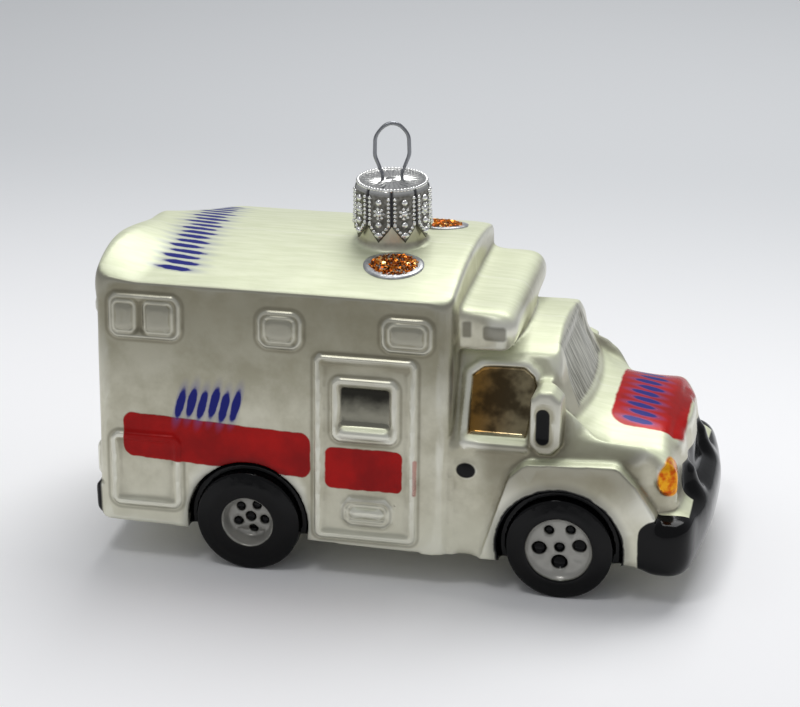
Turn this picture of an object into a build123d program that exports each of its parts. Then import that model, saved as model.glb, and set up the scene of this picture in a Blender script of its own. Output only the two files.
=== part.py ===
"""A blown-glass tree ornament in the shape of a box ambulance, with a crown cap and a spring hanger.

Millimetres, +Z up, +X to the front. The origin is on the ground under the middle of the length.
The glass is blown in a mould of two halves that part along y = 0, so one half is made and mirrored.
Each main form is made twice: at its outer size, and drawn in by the wall to make the hollow inside it.
"""

from build123d import *
from math import asin, atan2, cos, degrees, radians, sin
import os

os.makedirs("parts", exist_ok=True)

# ---------------------------------------------------------------- driving sizes
glass_wall = 0.9

# lengths, from the back bumper to the front one
back_bumper_reach = 0.9
box_length = 65.9
cab_length = 42.5
front_bumper_reach = 4.3

# heights: the sill stands over the ground and drops to the front wheel; the rest stand over its back
base_z = 7.8
sill_drop = 1.9
box_side_height = 46.0
box_roof_rise = 3.4
cab_waist_height = 19.2
cab_side_height = 34.8
cab_roof_rise = 1.8
cowl_height = 23.8
hood_front_height = 21.4

# half widths of the two sections
box_half_base = 25.4
box_half_eaves = 21.8
cab_side_step = 0.9
cab_half_roof = 14.0
nose_half_width = 19.5

# how far the corners are rolled
box_back_roll = 7.0
box_edge_roll = 2.6
cab_edge_roll = 2.2
hood_side_roll = 3.6
bumper_roll = 2.6
nose_roll = 6.0
wing_lead = 2.5
bar_end_roll = 1.0
hub_draft = 0.6

# wheels, as rounded discs blown out of the underside
tyre_radius = 9.72
tyre_face_y = 25.5
tyre_inner_y = 15.0
tyre_shoulder = 2.2
arch_clearance = 1.5
arch_depth = 2.6
rear_wheel_from_box_back = 28.4
front_wheel_from_box_front = 19.8

# light bar on the cab roof
bar_length = 10.8
bar_height = 6.7
bar_half_width = 17.5
bar_front_roll = 3.2

# front bumper and its two overriders, and the low back bumper
bumper_drop = 1.1
bumper_height = 9.6
bumper_half_width = 25.5
bumper_return = 12.6
bumper_bow = 1.5
overrider_y = 9.0
overrider_width = 4.4
overrider_height = 13.6
overrider_roll = 1.6
back_bumper_lift = 0.9
back_bumper_height = 6.0

# relief on the walls: ridges round each feature, pads, sunk panes and grooves
ridge_width = 0.9
ridge_height = 0.45
pad_height = 0.9
pane_depth = 0.45
pane_frame = 1.4
groove_depth = 0.4
groove_width = 0.7
bevel = 0.55
mirror_stand = 2.0
mirror_root = 7.4
mirror_width = 5.9
mirror_height = 12.0
mirror_corner = 1.8
dimple_depth = 0.35
grille_half_width = 13.0
grille_height = 12.2
grille_stand = 1.1
slat_pitch = 1.9
grille_slats = 5
centre_bar = 6.4
headlamp_radius = 2.8
lamp_stand = 1.2
corner_lamp_half_length = 2.6
corner_lamp_half_height = 3.3
handle_half_length = 1.8
handle_half_height = 1.45

# cap, neck and hanger
cap_from_box_front = 15.5
neck_radius = 6.3
neck_wall = 1.0
neck_foot_flare = 0.9
neck_height = 11.6
cap_sheet = 0.35
cap_clearance = 0.08
cap_chamfer = 1.0
cap_skirt_height = 9.4
cap_skirt_flare = 0.6
cap_tab_count = 9
cap_notch_height = 3.0
cap_tab_tip = 0.5
first_notch = 18.0
wire_radius = 0.375
wire_clearance = 0.06
leg_spacing = 4.2
loop_radius = 3.2
loop_height = 9.9
leg_straight = 3.9
leg_splay = 2.5
leg_splay_drop = 5.0
loop_turn = 17.0

# glitter crusts on the roof
glitter_half_length = 4.4
glitter_half_width = 3.8
glitter_height = 0.6

# ---------------------------------------------------------------- stations worked out from them
overall_length = back_bumper_reach + box_length + cab_length + front_bumper_reach
back_x = -overall_length / 2
box_back_x = back_x + back_bumper_reach
box_front_x = box_back_x + box_length
inside_box_x = box_front_x - 4 * glass_wall
nose_x = box_front_x + cab_length
front_x = nose_x + front_bumper_reach
rear_wheel_x = box_back_x + rear_wheel_from_box_back
front_wheel_x = box_front_x + front_wheel_from_box_front
cap_x = box_front_x - cap_from_box_front
windscreen_top_x = box_front_x + 16.2
cowl_x = box_front_x + 23.3

box_eaves_z = base_z + box_side_height
box_crown_z = box_eaves_z + box_roof_rise
cab_waist_z = base_z + cab_waist_height
cab_eaves_z = base_z + cab_side_height
cab_crown_z = cab_eaves_z + cab_roof_rise
cowl_z = base_z + cowl_height
hood_front_z = base_z + hood_front_height
neck_rim_z = box_crown_z + neck_height
bumper_bottom_z = base_z - bumper_drop
arch_radius = tyre_radius + arch_clearance

side_slope = (box_half_base - box_half_eaves) / box_side_height
side_tilt = atan2(box_half_base - box_half_eaves, box_side_height)
sill_slope = sill_drop / (front_wheel_x - box_back_x)
cab_half_base = box_half_base - cab_side_step
cab_half_waist = cab_half_base - side_slope * cab_waist_height
cab_lean = atan2(cab_half_waist - cab_half_roof, cab_eaves_z - cab_waist_z)

# The planes of the drafted sides face outwards; their y runs up the wall from the sill.
box_side = Plane(
    origin=(0, -box_half_base, base_z),
    x_dir=(1, 0, 0),
    z_dir=(0, -cos(side_tilt), sin(side_tilt)),
)
cab_side = box_side.offset(-cab_side_step * cos(side_tilt))
# Above the waist the cab leans further in, and that plane's y runs up from the waist.
cab_upper = Plane(
    origin=(0, -cab_half_waist, cab_waist_z),
    x_dir=(1, 0, 0),
    z_dir=(0, -cos(cab_lean), sin(cab_lean)),
)
windscreen_slope = atan2(cab_crown_z + 1 - cowl_z, cowl_x - windscreen_top_x)
windscreen = Plane(
    origin=(cowl_x, 0, cowl_z),
    x_dir=(0, 1, 0),
    z_dir=(sin(windscreen_slope), 0, cos(windscreen_slope)),
)
nose_side_run = nose_x - front_wheel_x - wing_lead
nose_side_turn = atan2(box_half_base + 1 - nose_half_width, nose_side_run)
nose_side = Plane(
    origin=(nose_x, -nose_half_width, base_z),
    x_dir=(cos(nose_side_turn), sin(nose_side_turn), 0),
    z_dir=(sin(nose_side_turn), -cos(nose_side_turn), 0),
)
nose_front = Plane(origin=(nose_x, 0, base_z), x_dir=(0, 1, 0), z_dir=(1, 0, 0))
back_wall = Plane(origin=(box_back_x, 0, base_z), x_dir=(0, -1, 0), z_dir=(-1, 0, 0))


# ---------------------------------------------------------------- main forms
def sill_z(x):
    """Height of the sloping sill's underside over the ground."""
    return base_z - sill_slope * (x - box_back_x)


def half_section(half_base, half_eaves, side_height, rise, inset, *waist):
    """Half of a drafted section with a crowned top, drawn on the YZ plane with y below zero."""
    crown_z = base_z + side_height + rise
    crown_radius = (half_eaves**2 + rise**2) / (2 * rise) - inset
    spread = degrees(asin((half_eaves - inset) / crown_radius))
    foot_z = base_z - sill_drop + inset
    foot_y = inset - half_base - side_slope * sill_drop
    with BuildLine() as outline:
        roof = CenterArc((0, crown_z - inset - crown_radius), crown_radius, 90, spread)
        Polyline(roof @ 1, *waist, (foot_y, foot_z), (0, foot_z), roof @ 0)
    return outline.line


def box_half(inset):
    """The load box: a drafted, crowned section run along X, its back rolled down and its edges rounded."""
    with BuildPart() as box:
        with BuildSketch(Plane.YZ.offset(box_back_x + inset)):
            add(half_section(box_half_base, box_half_eaves, box_side_height, box_roof_rise, inset))
            make_face()
        extrude(amount=box_length - 2 * inset)
        with BuildSketch(Plane.XZ):
            with BuildLine():
                Polyline(
                    (box_back_x + inset, sill_z(box_back_x) + inset),
                    (box_back_x + inset, box_crown_z - inset),
                    (box_front_x - inset, box_crown_z - inset),
                    (box_front_x - inset, sill_z(box_front_x) + inset),
                    close=True,
                )
            make_face()
            fillet(vertices().sort_by_distance((box_back_x, box_crown_z))[0], radius=box_back_roll - inset)
        extrude(amount=box_half_base + sill_drop, mode=Mode.INTERSECT)
        uprights = box.edges().filter_by(lambda e: e.length > box_side_height / 2 and e.center().Y < -1)
        uprights = uprights.filter_by(Axis.X, reverse=True).filter_by(lambda e: e.center().Z > base_z + 1)
        if inset:
            chamfer(uprights, length=inset)
        else:
            fillet(uprights, radius=box_edge_roll)
    return box.part


def side_edges(cab):
    """The edges round the outer side of the cab, in front of the box and clear of the seam."""
    outer = cab.edges().filter_by(lambda e: e.center().Y < -nose_half_width / 2)
    return outer.filter_by(lambda e: e.center().X > box_front_x and max((e @ 0).Y, (e @ 1).Y) < -1)


def cab_half(inset):
    """The cab and bonnet: a side profile cut to the cab's section and to the plan of the nose."""
    with BuildPart() as cab:
        with BuildSketch(Plane.XZ):
            with BuildLine():
                Polyline(
                    (inside_box_x, sill_z(inside_box_x)),
                    (inside_box_x, cab_crown_z + 1),
                    (windscreen_top_x, cab_crown_z + 1),
                    (cowl_x, cowl_z),
                    (nose_x, hood_front_z),
                    (nose_x, base_z),
                    (front_wheel_x, sill_z(front_wheel_x)),
                    close=True,
                )
            make_face()
            fillet(vertices().sort_by_distance((nose_x, hood_front_z))[0], radius=nose_roll)
            if inset:
                offset(amount=-inset, mode=Mode.REPLACE)
        extrude(amount=box_half_base + sill_drop)
        with BuildSketch(Plane.YZ.offset(inside_box_x)):
            waist = (inset - cab_half_waist, cab_waist_z)
            add(half_section(cab_half_base, cab_half_roof, cab_side_height, cab_roof_rise, inset, waist))
            make_face()
        extrude(amount=overall_length, mode=Mode.INTERSECT)
        with BuildSketch(Plane.XY):
            with BuildLine():
                plan = FilletPolyline(
                    (inside_box_x, 0),
                    (inside_box_x, inset - box_half_base - 1),
                    (front_wheel_x + wing_lead, inset - box_half_base - 1),
                    (nose_x - inset, inset - nose_half_width),
                    (nose_x - inset, 0),
                    radius=(1, 12, nose_roll - inset),
                )
                Line(plan @ 0, plan @ 1)
            make_face()
        extrude(amount=box_crown_z, mode=Mode.INTERSECT)
        hood_edges = side_edges(cab).filter_by(lambda e: e.center().Z < cowl_z)
        hood_edges = hood_edges.filter_by(lambda e: min((e @ 0).Z, (e @ 1).Z) > base_z + 1)
        fillet(hood_edges, radius=hood_side_roll - 2 * inset)
        if not inset:
            roof_edges = side_edges(cab).filter_by(lambda e: e.center().Z > cowl_z)
            fillet(roof_edges.filter_by(lambda e: e.length > cab_side_height / 4), radius=cab_edge_roll)
    return cab.part


def bar_half(inset):
    """The light bar across the cab roof: rolled in front, let into the box behind it."""
    with BuildPart() as bar:
        with BuildSketch(Plane.XZ):
            with Locations((inside_box_x, cab_crown_z - glass_wall + inset)):
                Rectangle(
                    box_front_x + bar_length - inside_box_x - inset,
                    bar_height + glass_wall - 2 * inset,
                    align=(Align.MIN, Align.MIN),
                )
        extrude(amount=bar_half_width - inset)
        front = bar.faces().sort_by(Axis.X)[-1]
        fillet(front.edges().filter_by(Axis.Y), radius=bar_front_roll - inset)
        if not inset:
            end = bar.faces().sort_by(Axis.Y)[0]
            fillet(end.edges(), radius=bar_end_roll)
    return bar.part


def flare_half(inset):
    """The front wing's flare: a shelf with rolled shoulders, carried down to the sill before and behind."""
    with BuildPart() as flare:
        with BuildSketch(Plane.XZ.offset(nose_half_width)):
            with BuildLine():
                flare_edge = FilletPolyline(
                    (front_wheel_x - 14.6 + inset, sill_z(front_wheel_x - 14.6) + inset),
                    (front_wheel_x - 9.4 + inset, base_z + 15.0),
                    (front_wheel_x - 6.4 + inset, base_z + 18.2 - inset),
                    (front_wheel_x + 10.0 - inset, base_z + 19.0 - inset),
                    (front_wheel_x + 13.2 - inset, base_z + 15.6),
                    (front_wheel_x + 17.8 - inset, base_z + 9.2),
                    (front_wheel_x + 17.8 - inset, base_z + inset),
                    radius=2.6,
                )
                Line(flare_edge @ 1, flare_edge @ 0)
            make_face()
        extrude(amount=tyre_face_y - nose_half_width - 0.3 - inset)
    return flare.part


def wheel_half(x, hub_radius, dish, inset):
    """One wheel: a tyre with two bevels round its shoulder, and its hub dished in from the face."""
    face = tyre_face_y - inset
    radius = tyre_radius - inset
    floor = tyre_face_y - dish - inset
    hub = hub_radius + inset
    # The outer shoulder bulges between two bevels; the inner one is a single, smaller bevel.
    cut = tyre_shoulder / 2 if inset else tyre_shoulder
    bulge = 0.3 * tyre_shoulder
    shoulder = [(x + radius - cut, -face), (x + radius - bulge, bulge - face), (x + radius, cut - face)]
    if inset:
        del shoulder[1]
    with BuildPart() as wheel:
        with BuildSketch(Plane.XY.offset(tyre_radius)):
            with BuildLine():
                Polyline(
                    (x, -tyre_inner_y),
                    (x, -floor),
                    (x + hub - hub_draft, -floor),
                    (x + hub, -face),
                    *shoulder,
                    (x + radius, -tyre_inner_y),
                    close=True,
                )
            make_face()
        revolve(axis=Axis((x, 0, tyre_radius), (0, 1, 0)))
    return wheel.part


def front_bumper_half(inset):
    """The front bumper: a swollen bar, bowed forward, that turns back round the wing."""
    side_y = bumper_half_width - inset
    with BuildPart() as bumper:
        with BuildSketch(Plane.XY.offset(bumper_bottom_z + inset)):
            with BuildLine():
                rim = FilletPolyline(
                    (front_x - inset, 0),
                    (front_x - inset, -overrider_y),
                    (front_x - inset - bumper_bow, -side_y),
                    (front_x - bumper_return + inset, -side_y),
                    (front_x - bumper_return + inset, 2 - nose_half_width),
                    radius=(20, 4, 3),
                )
                Polyline(
                    rim @ 1,
                    (nose_x - 3 * glass_wall + inset, -nose_half_width + 6),
                    (nose_x - 3 * glass_wall + inset, 0),
                    rim @ 0,
                )
            make_face()
        extrude(amount=bumper_height - 2 * inset)
        rims = bumper.faces().filter_by(Axis.Z).edges().filter_by(lambda e: e.center().Y < -1)
        rims = rims.filter_by(lambda e: e.center().X > nose_x or e.center().Y < -nose_half_width)
        if inset:
            chamfer(rims, length=bumper_roll / 3)
        else:
            fillet(rims, radius=bumper_roll)
    return bumper.part


def back_bumper_half(inset):
    """The back bumper: a low bar across the box."""
    with BuildPart() as bumper:
        with BuildSketch(Plane.XY.offset(base_z + back_bumper_lift + inset)):
            with Locations((back_x + inset, 0)):
                Rectangle(
                    back_bumper_reach + box_edge_roll + glass_wall,
                    box_half_base - glass_wall - inset,
                    align=(Align.MIN, Align.MAX),
                )
        extrude(amount=back_bumper_height - 2 * inset)
        if not inset:
            rim = bumper.faces().sort_by(Axis.X)[0].edges()
            fillet(rim.filter_by(lambda e: e.center().Y < -1), radius=box_edge_roll / 2)
    return bumper.part


wheels = (
    # x of the axle, radius of the hub's opening, depth of its dish
    (rear_wheel_x, 4.55, 3.2),
    (front_wheel_x, 6.1, 1.2),
)


def glass_form(inset):
    """Half of the whole moulded form, at its outer size or drawn in by an inset."""
    with BuildPart() as form:
        add(box_half(inset))
        add(cab_half(inset))
        add(bar_half(inset))
        add(flare_half(inset))
        for x, hub_radius, dish in wheels:
            with BuildSketch(Plane.XZ.offset(tyre_face_y - arch_depth - inset)):
                with Locations((x, tyre_radius)):
                    Circle(arch_radius + inset)
            extrude(amount=arch_depth + box_half_base, mode=Mode.SUBTRACT)
            add(wheel_half(x, hub_radius, dish, inset))
        add(front_bumper_half(inset))
        add(back_bumper_half(inset))
    return form.part


# ---------------------------------------------------------------- relief
bar_end = Plane(origin=(0, -bar_half_width, base_z), x_dir=(1, 0, 0), z_dir=(0, -1, 0))
bar_middle_up = cab_side_height + cab_roof_rise + bar_height / 2
mirror_place = (box_front_x + 16.8, 25.8)

rings = (
    # wall, middle along it, middle up it, width, height, corner cut
    (box_side, box_back_x + 9.6, 39.7, 12.8, 7.6, 1.1),
    (box_side, box_back_x + 34.6, 39.1, 7.6, 6.4, 1.3),
    (box_side, box_front_x - 8.2, 39.7, 8.6, 5.8, 1.1),
    (box_side, box_front_x - 15.7, 25.1, 11.6, 11.4, 0.9),
    (box_side, box_back_x + 9.4, 10.4, 12.8, 13.6, 1.1),
    (box_side, box_front_x - 15.2, 5.8, 9.0, 5.2, 1.3),
    (box_side, box_front_x - 15.6, 17.8, 18.2, 34.2, 0.9),
    (back_wall, 9.6, 19.2, 17.2, 33.0, 0.9),
    (back_wall, 9.6, 28.2, 11.4, 10.0, 1.1),
)
pads = (
    # wall, middle along it, middle up it, width, height, corner cut, how far it stands out
    (box_side, box_back_x + 5.8, 39.7, 3.5, 5.2, 0.6, pad_height),
    (box_side, box_back_x + 12.2, 39.7, 4.8, 5.2, 0.6, pad_height),
    (box_side, box_back_x + 34.6, 39.2, 5.2, 4.4, 0.9, pad_height),
    (box_side, box_front_x - 8.1, 39.8, 6.4, 3.9, 0.8, pad_height),
    (box_side, box_front_x - 15.7, 20.7, 9.6, 2.0, 0.6, pad_height),
    (box_side, box_front_x - 15.2, 5.8, 6.6, 2.4, 0.8, pad_height),
    (cab_upper, box_front_x + 7.6, 1.0, 12.4, 1.9, 0.6, pad_height),
    (cab_side, *mirror_place, mirror_width, mirror_height, mirror_corner, mirror_stand),
    (bar_end, box_front_x + 7.2, bar_middle_up, 4.6, 3.7, 0.8, pad_height),
    (back_wall, 20.5, 10.6, 3.4, 6.8, 0.8, pad_height),
    (back_wall, 16.4, 39.4, 5.6, 3.2, 0.8, pad_height),
    (back_wall, 2.8, 17.2, 1.3, 3.8, 0.4, pad_height),
)
sunk_panes = (
    # wall, middle along it, middle up it, width, height, depth
    (box_side, box_front_x - 15.7, 25.7, 9.2, 7.4, pane_depth),
    (bar_end, box_front_x + 1.4, bar_middle_up, 0.7, 3.8, groove_depth),
    (bar_end, box_front_x + 3.2, bar_middle_up, 0.7, 3.8, groove_depth),
)
corner_lamp_place = (-3.7, 16.2)
headlamp_place = (headlamp_radius - grille_half_width + bevel, hood_front_height - headlamp_radius - 2)
handle_place = (box_front_x + 2.6, 15.2)
mirror_glass_place = (box_front_x + 16.5, 25.2)
mirror_glass_height = 6.8
mirror_glass_width = 2.6
# Half of the windscreen: distance across from the seam, distance up the slope from the cowl.
windscreen_outline = ((0, 1.4), (-12.6, 1.4), (-9.8, 11.8), (0, 11.8))
# Outlines on the cab's side, each from the front of the box: the window's up from the waist, and
# the door's gap up from the sill.
cab_window = ((2.6, 2.9), (2.5, 13.4), (4.4, 15.0), (11.6, 15.3), (13.6, 13.8), (14.2, 12.0), (13.1, 2.9))
cab_door_line = ((1.3, 18.4), (1.0, 14.8), (1.0, 2.6), (5.4, 2.6))
hub_dimples = (
    # x of the axle, dish, distance from the axle, angle, radius
    (rear_wheel_x, 3.2, 0, 0, 1.15),
    (rear_wheel_x, 3.2, 2.65, 94, 0.95),
    (rear_wheel_x, 3.2, 2.65, 166, 0.95),
    (rear_wheel_x, 3.2, 2.65, 238, 0.95),
    (rear_wheel_x, 3.2, 2.65, 310, 0.95),
    (rear_wheel_x, 3.2, 2.65, 22, 0.95),
    (front_wheel_x, 1.2, 0, 0, 1.1),
    (front_wheel_x, 1.2, 3.5, 270, 1.55),
    (front_wheel_x, 1.2, 3.5, 342, 1.55),
    (front_wheel_x, 1.2, 3.5, 54, 0.95),
    (front_wheel_x, 1.2, 3.5, 126, 0.95),
    (front_wheel_x, 1.2, 3.5, 198, 1.55),
)


def cut_corner_plate(width, height, corner):
    """A rectangle with its corners cut off, for a sketch."""
    with BuildSketch() as plate:
        Rectangle(width, height)
        chamfer(vertices(), length=corner)
    return plate.sketch


def raised_half():
    """Everything that stands out from one half of the form."""
    with BuildPart() as raised:
        for wall, along, up, width, height, corner in rings:
            with BuildSketch(wall):
                with Locations((along, up)):
                    add(cut_corner_plate(width, height, corner))
                    Rectangle(width - 2 * ridge_width, height - 2 * ridge_width, mode=Mode.SUBTRACT)
            extrude(amount=ridge_height)
        for wall, along, up, width, height, corner, stand in pads:
            with BuildPart(mode=Mode.PRIVATE) as pad:
                with BuildSketch(wall):
                    with Locations((along, up)):
                        add(cut_corner_plate(width, height, corner))
                extrude(amount=stand)
                crown = pad.faces().sort_by(Axis(wall.origin, wall.z_dir))[-1]
                chamfer(crown.edges(), length=bevel)
            add(pad.part)

        # root of the mirror, run in to the leaning glass, then the window's frame and the door handle
        with BuildSketch(cab_side):
            with Locations(mirror_place):
                add(cut_corner_plate(mirror_width, mirror_height, mirror_corner))
        extrude(amount=-mirror_root)
        with BuildSketch(cab_upper):
            with BuildLine():
                Polyline(*[(box_front_x + along, up) for along, up in cab_window], close=True)
            make_face()
            offset(amount=pane_frame, kind=Kind.INTERSECTION)
            with BuildLine():
                Polyline(*[(box_front_x + along, up) for along, up in cab_window], close=True)
            make_face(mode=Mode.SUBTRACT)
        extrude(amount=ridge_height)
        with BuildSketch(cab_side):
            with Locations(handle_place):
                Ellipse(handle_half_length, handle_half_height)
        extrude(amount=ridge_height)

        # grille panel, headlamp, overrider and corner lamp
        with BuildSketch(nose_front.offset(-nose_roll / 2)):
            with Locations((0, hood_front_height - 1)):
                Rectangle(grille_half_width, grille_height, align=Align.MAX)
        extrude(amount=nose_roll / 2 + grille_stand)
        with BuildSketch(nose_front):
            with Locations(headlamp_place):
                Circle(headlamp_radius)
        extrude(amount=grille_stand + pad_height)
        with BuildSketch(Plane.XY.offset(bumper_bottom_z + 1)):
            with Locations((front_x - bumper_bow / 3, -overrider_y)):
                Rectangle(front_bumper_reach, overrider_width, align=(Align.MAX, Align.CENTER))
            fillet(vertices().group_by(Axis.X)[-1], radius=overrider_roll)
        extrude(amount=overrider_height)
        with BuildSketch(nose_side.offset(-glass_wall)):
            with Locations(corner_lamp_place):
                Ellipse(corner_lamp_half_length, corner_lamp_half_height)
        extrude(amount=glass_wall + lamp_stand)
    return raised.part


def sunk_half():
    """Everything that is let into one half of the form."""
    with BuildPart() as sunk:
        for wall, along, up, width, height, depth in sunk_panes:
            with BuildSketch(wall.offset(-depth)):
                with Locations((along, up)):
                    Rectangle(width, height)
            extrude(amount=depth + bevel)
        for x, dish, reach, angle, radius in hub_dimples:
            with BuildSketch(Plane.XZ.offset(tyre_face_y - dish - dimple_depth)):
                with Locations((x, tyre_radius)):
                    with PolarLocations(reach, 1, start_angle=angle):
                        RegularPolygon(radius, 8)
            extrude(amount=dimple_depth + groove_depth)
        with BuildSketch(cab_upper.offset(-pane_depth)):
            with BuildLine():
                Polyline(*[(box_front_x + along, up) for along, up in cab_window], close=True)
            make_face()
        extrude(amount=2 * pane_depth)
        with BuildSketch(cab_side.offset(mirror_stand - pane_depth)):
            with Locations(mirror_glass_place):
                SlotOverall(mirror_glass_height, mirror_glass_width, rotation=90)
        extrude(amount=2 * pane_depth)
        with BuildSketch(cab_side.offset(-groove_depth)):
            with BuildLine() as seam:
                Polyline(*[(box_front_x + along, up) for along, up in cab_door_line])
            trace(seam.line, groove_width)
        extrude(amount=groove_depth + bevel)
        with BuildSketch(windscreen.offset(-pane_depth)):
            with BuildLine():
                Polyline(*windscreen_outline, close=True)
            make_face()
        extrude(amount=2 * pane_depth)
        with BuildSketch(nose_front.offset(grille_stand / 2)):
            with Locations((0, hood_front_height - 1 - grille_height / 2)):
                with GridLocations(1, slat_pitch, 1, grille_slats):
                    Rectangle(centre_bar, slat_pitch / 2, align=(Align.MAX, Align.CENTER))
        extrude(amount=grille_stand)
    return sunk.part


# ---------------------------------------------------------------- glass body
# The cap's axis stands on the seam; these are the heights that the neck and the cap share.
neck_foot_z = box_crown_z - glass_wall
neck_bore = neck_radius - neck_wall
cap_top_z = neck_rim_z + cap_clearance + cap_sheet
cap_tip_z = cap_top_z - cap_skirt_height

with BuildPart() as glass_body:
    add(glass_form(0))
    add(raised_half())
    add(sunk_half(), mode=Mode.SUBTRACT)
    mirror(about=Plane.XZ)
    with BuildSketch(Plane.XZ):
        with BuildLine():
            Polyline(
                (cap_x, neck_foot_z),
                (cap_x + neck_radius + neck_foot_flare, neck_foot_z),
                (cap_x + neck_radius, box_crown_z + neck_foot_flare),
                (cap_x + neck_radius, neck_rim_z - cap_chamfer),
                (cap_x + neck_radius - cap_chamfer, neck_rim_z),
                (cap_x, neck_rim_z),
                close=True,
            )
        make_face()
    revolve(axis=Axis((cap_x, 0, 0), (0, 0, 1)))
    add(glass_form(glass_wall), mode=Mode.SUBTRACT)
    add(mirror(glass_form(glass_wall), about=Plane.XZ, mode=Mode.PRIVATE), mode=Mode.SUBTRACT)
    with BuildSketch(Plane.XY.offset(neck_rim_z)):
        with Locations((cap_x, 0)):
            Circle(neck_bore)
    extrude(amount=-(neck_rim_z - box_crown_z + 3 * glass_wall), mode=Mode.SUBTRACT)

glass_body.part.label = "glass_body"
export_step(glass_body.part, "parts/glass_body.step")


# ---------------------------------------------------------------- glitter crusts
roof_rise = box_crown_z - box_eaves_z
roof_radius = (box_half_eaves**2 + roof_rise**2) / (2 * roof_rise)
roof_axis = Plane(origin=(0, 0, box_crown_z - roof_radius), x_dir=(0, 1, 0), z_dir=(1, 0, 0))
crusts = (
    # node, distance behind the front of the box, y
    ("roof_glitter_right", 12.9, -11.2),
    ("roof_glitter_left", 9.3, 12.0),
)
for name, from_front, y in crusts:
    lean = asin(y / roof_radius)
    upwards = Plane(
        origin=(box_front_x - from_front, y, box_crown_z - roof_radius + roof_radius * cos(lean)),
        x_dir=(1, 0, 0),
        z_dir=(0, sin(lean), cos(lean)),
    )
    with BuildPart() as roof_glitter:
        with BuildSketch(upwards):
            Ellipse(glitter_half_length, glitter_half_width)
        extrude(amount=glitter_height, both=True)
        with BuildSketch(roof_axis):
            Circle(roof_radius + glitter_height)
            Circle(roof_radius, mode=Mode.SUBTRACT)
        extrude(amount=overall_length, both=True, mode=Mode.INTERSECT)
    roof_glitter.part.label = name
    export_step(roof_glitter.part, f"parts/{name}.step")

# ---------------------------------------------------------------- crown cap
cap_inner = neck_radius + cap_clearance
cap_side = cap_inner + cap_sheet
loop_plane = Plane(
    origin=(cap_x, 0, 0),
    x_dir=(cos(radians(loop_turn)), sin(radians(loop_turn)), 0),
    z_dir=(sin(radians(loop_turn)), -cos(radians(loop_turn)), 0),
)
tab_pitch = 360 / cap_tab_count
notch_half_width = (cap_side + cap_skirt_flare) * sin(radians(tab_pitch / 2)) - cap_tab_tip / 2

with BuildPart() as cap:
    with BuildSketch(Plane.XZ):
        with BuildLine():
            Polyline(
                (cap_x, cap_top_z),
                (cap_x + cap_side - cap_chamfer, cap_top_z),
                (cap_x + cap_side, cap_top_z - cap_chamfer),
                (cap_x + cap_side, cap_top_z - cap_skirt_height / 2),
                (cap_x + cap_side + cap_skirt_flare, cap_tip_z),
                (cap_x + cap_inner + cap_skirt_flare, cap_tip_z),
                (cap_x + cap_inner, cap_top_z - cap_skirt_height / 2),
                (cap_x + cap_inner, cap_top_z - cap_sheet - cap_chamfer),
                (cap_x + cap_inner - cap_chamfer, cap_top_z - cap_sheet),
                (cap_x, cap_top_z - cap_sheet),
                close=True,
            )
        make_face()
    revolve(axis=Axis((cap_x, 0, 0), (0, 0, 1)))
    for tab in range(cap_tab_count):
        turn = radians(first_notch + tab * tab_pitch)
        outwards = Plane(
            origin=(cap_x, 0, cap_tip_z),
            x_dir=(-sin(turn), cos(turn), 0),
            z_dir=(cos(turn), sin(turn), 0),
        )
        with BuildSketch(outwards):
            with BuildLine():
                Polyline(
                    (-notch_half_width, -cap_sheet),
                    (notch_half_width, -cap_sheet),
                    (0, cap_notch_height),
                    close=True,
                )
            make_face()
        extrude(amount=2 * neck_radius, mode=Mode.SUBTRACT)
    with BuildSketch(Plane(origin=(cap_x, 0, cap_top_z), x_dir=loop_plane.x_dir, z_dir=(0, 0, 1))):
        with Locations((-leg_spacing / 2, 0), (leg_spacing / 2, 0)):
            Circle(wire_radius + wire_clearance)
    extrude(amount=-2 * cap_sheet, mode=Mode.SUBTRACT)

cap.part.label = "cap"
export_step(cap.part, "parts/cap.step")

# ---------------------------------------------------------------- hanger
leg = leg_spacing / 2
straight_foot_z = cap_top_z - leg_straight
loop_top_z = cap_top_z + loop_height
loop_waist_z = loop_top_z - 1.9 * loop_radius

with BuildPart() as hanger_wire:
    with BuildLine(loop_plane) as bend:
        FilletPolyline(
            (-leg - leg_splay, straight_foot_z - leg_splay_drop),
            (-leg, straight_foot_z),
            (-leg, cap_top_z + wire_radius),
            (-loop_radius, loop_waist_z),
            (-loop_radius, loop_top_z),
            (loop_radius, loop_top_z),
            (loop_radius, loop_waist_z),
            (leg, cap_top_z + wire_radius),
            (leg, straight_foot_z),
            (leg + leg_splay, straight_foot_z - leg_splay_drop),
            radius=(2.0, 2.0, 4.0, 3.15, 3.15, 4.0, 2.0, 2.0),
        )
    with BuildSketch(Plane(origin=bend.line @ 0, z_dir=bend.line % 0)):
        Circle(wire_radius)
    sweep(path=bend.line)

hanger_wire.part.label = "hanger_wire"
export_step(hanger_wire.part, "parts/hanger_wire.step")
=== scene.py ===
# %% [markdown]
# # A blown-glass tree ornament in the shape of an ambulance
# The real thing is one hollow glass bubble, blown in a two-part mould, silvered inside,
# sprayed with pearl lacquer and painted by hand. A stamped crown cap with a spring-wire
# loop grips its neck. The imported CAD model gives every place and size, in metres; this
# script gives the soft blown surface, the paint, the stamped cap and the glitter.

import math
from functools import reduce

import bmesh
import bpy
import numpy as np
from mathutils import Matrix, Vector, noise


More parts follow.
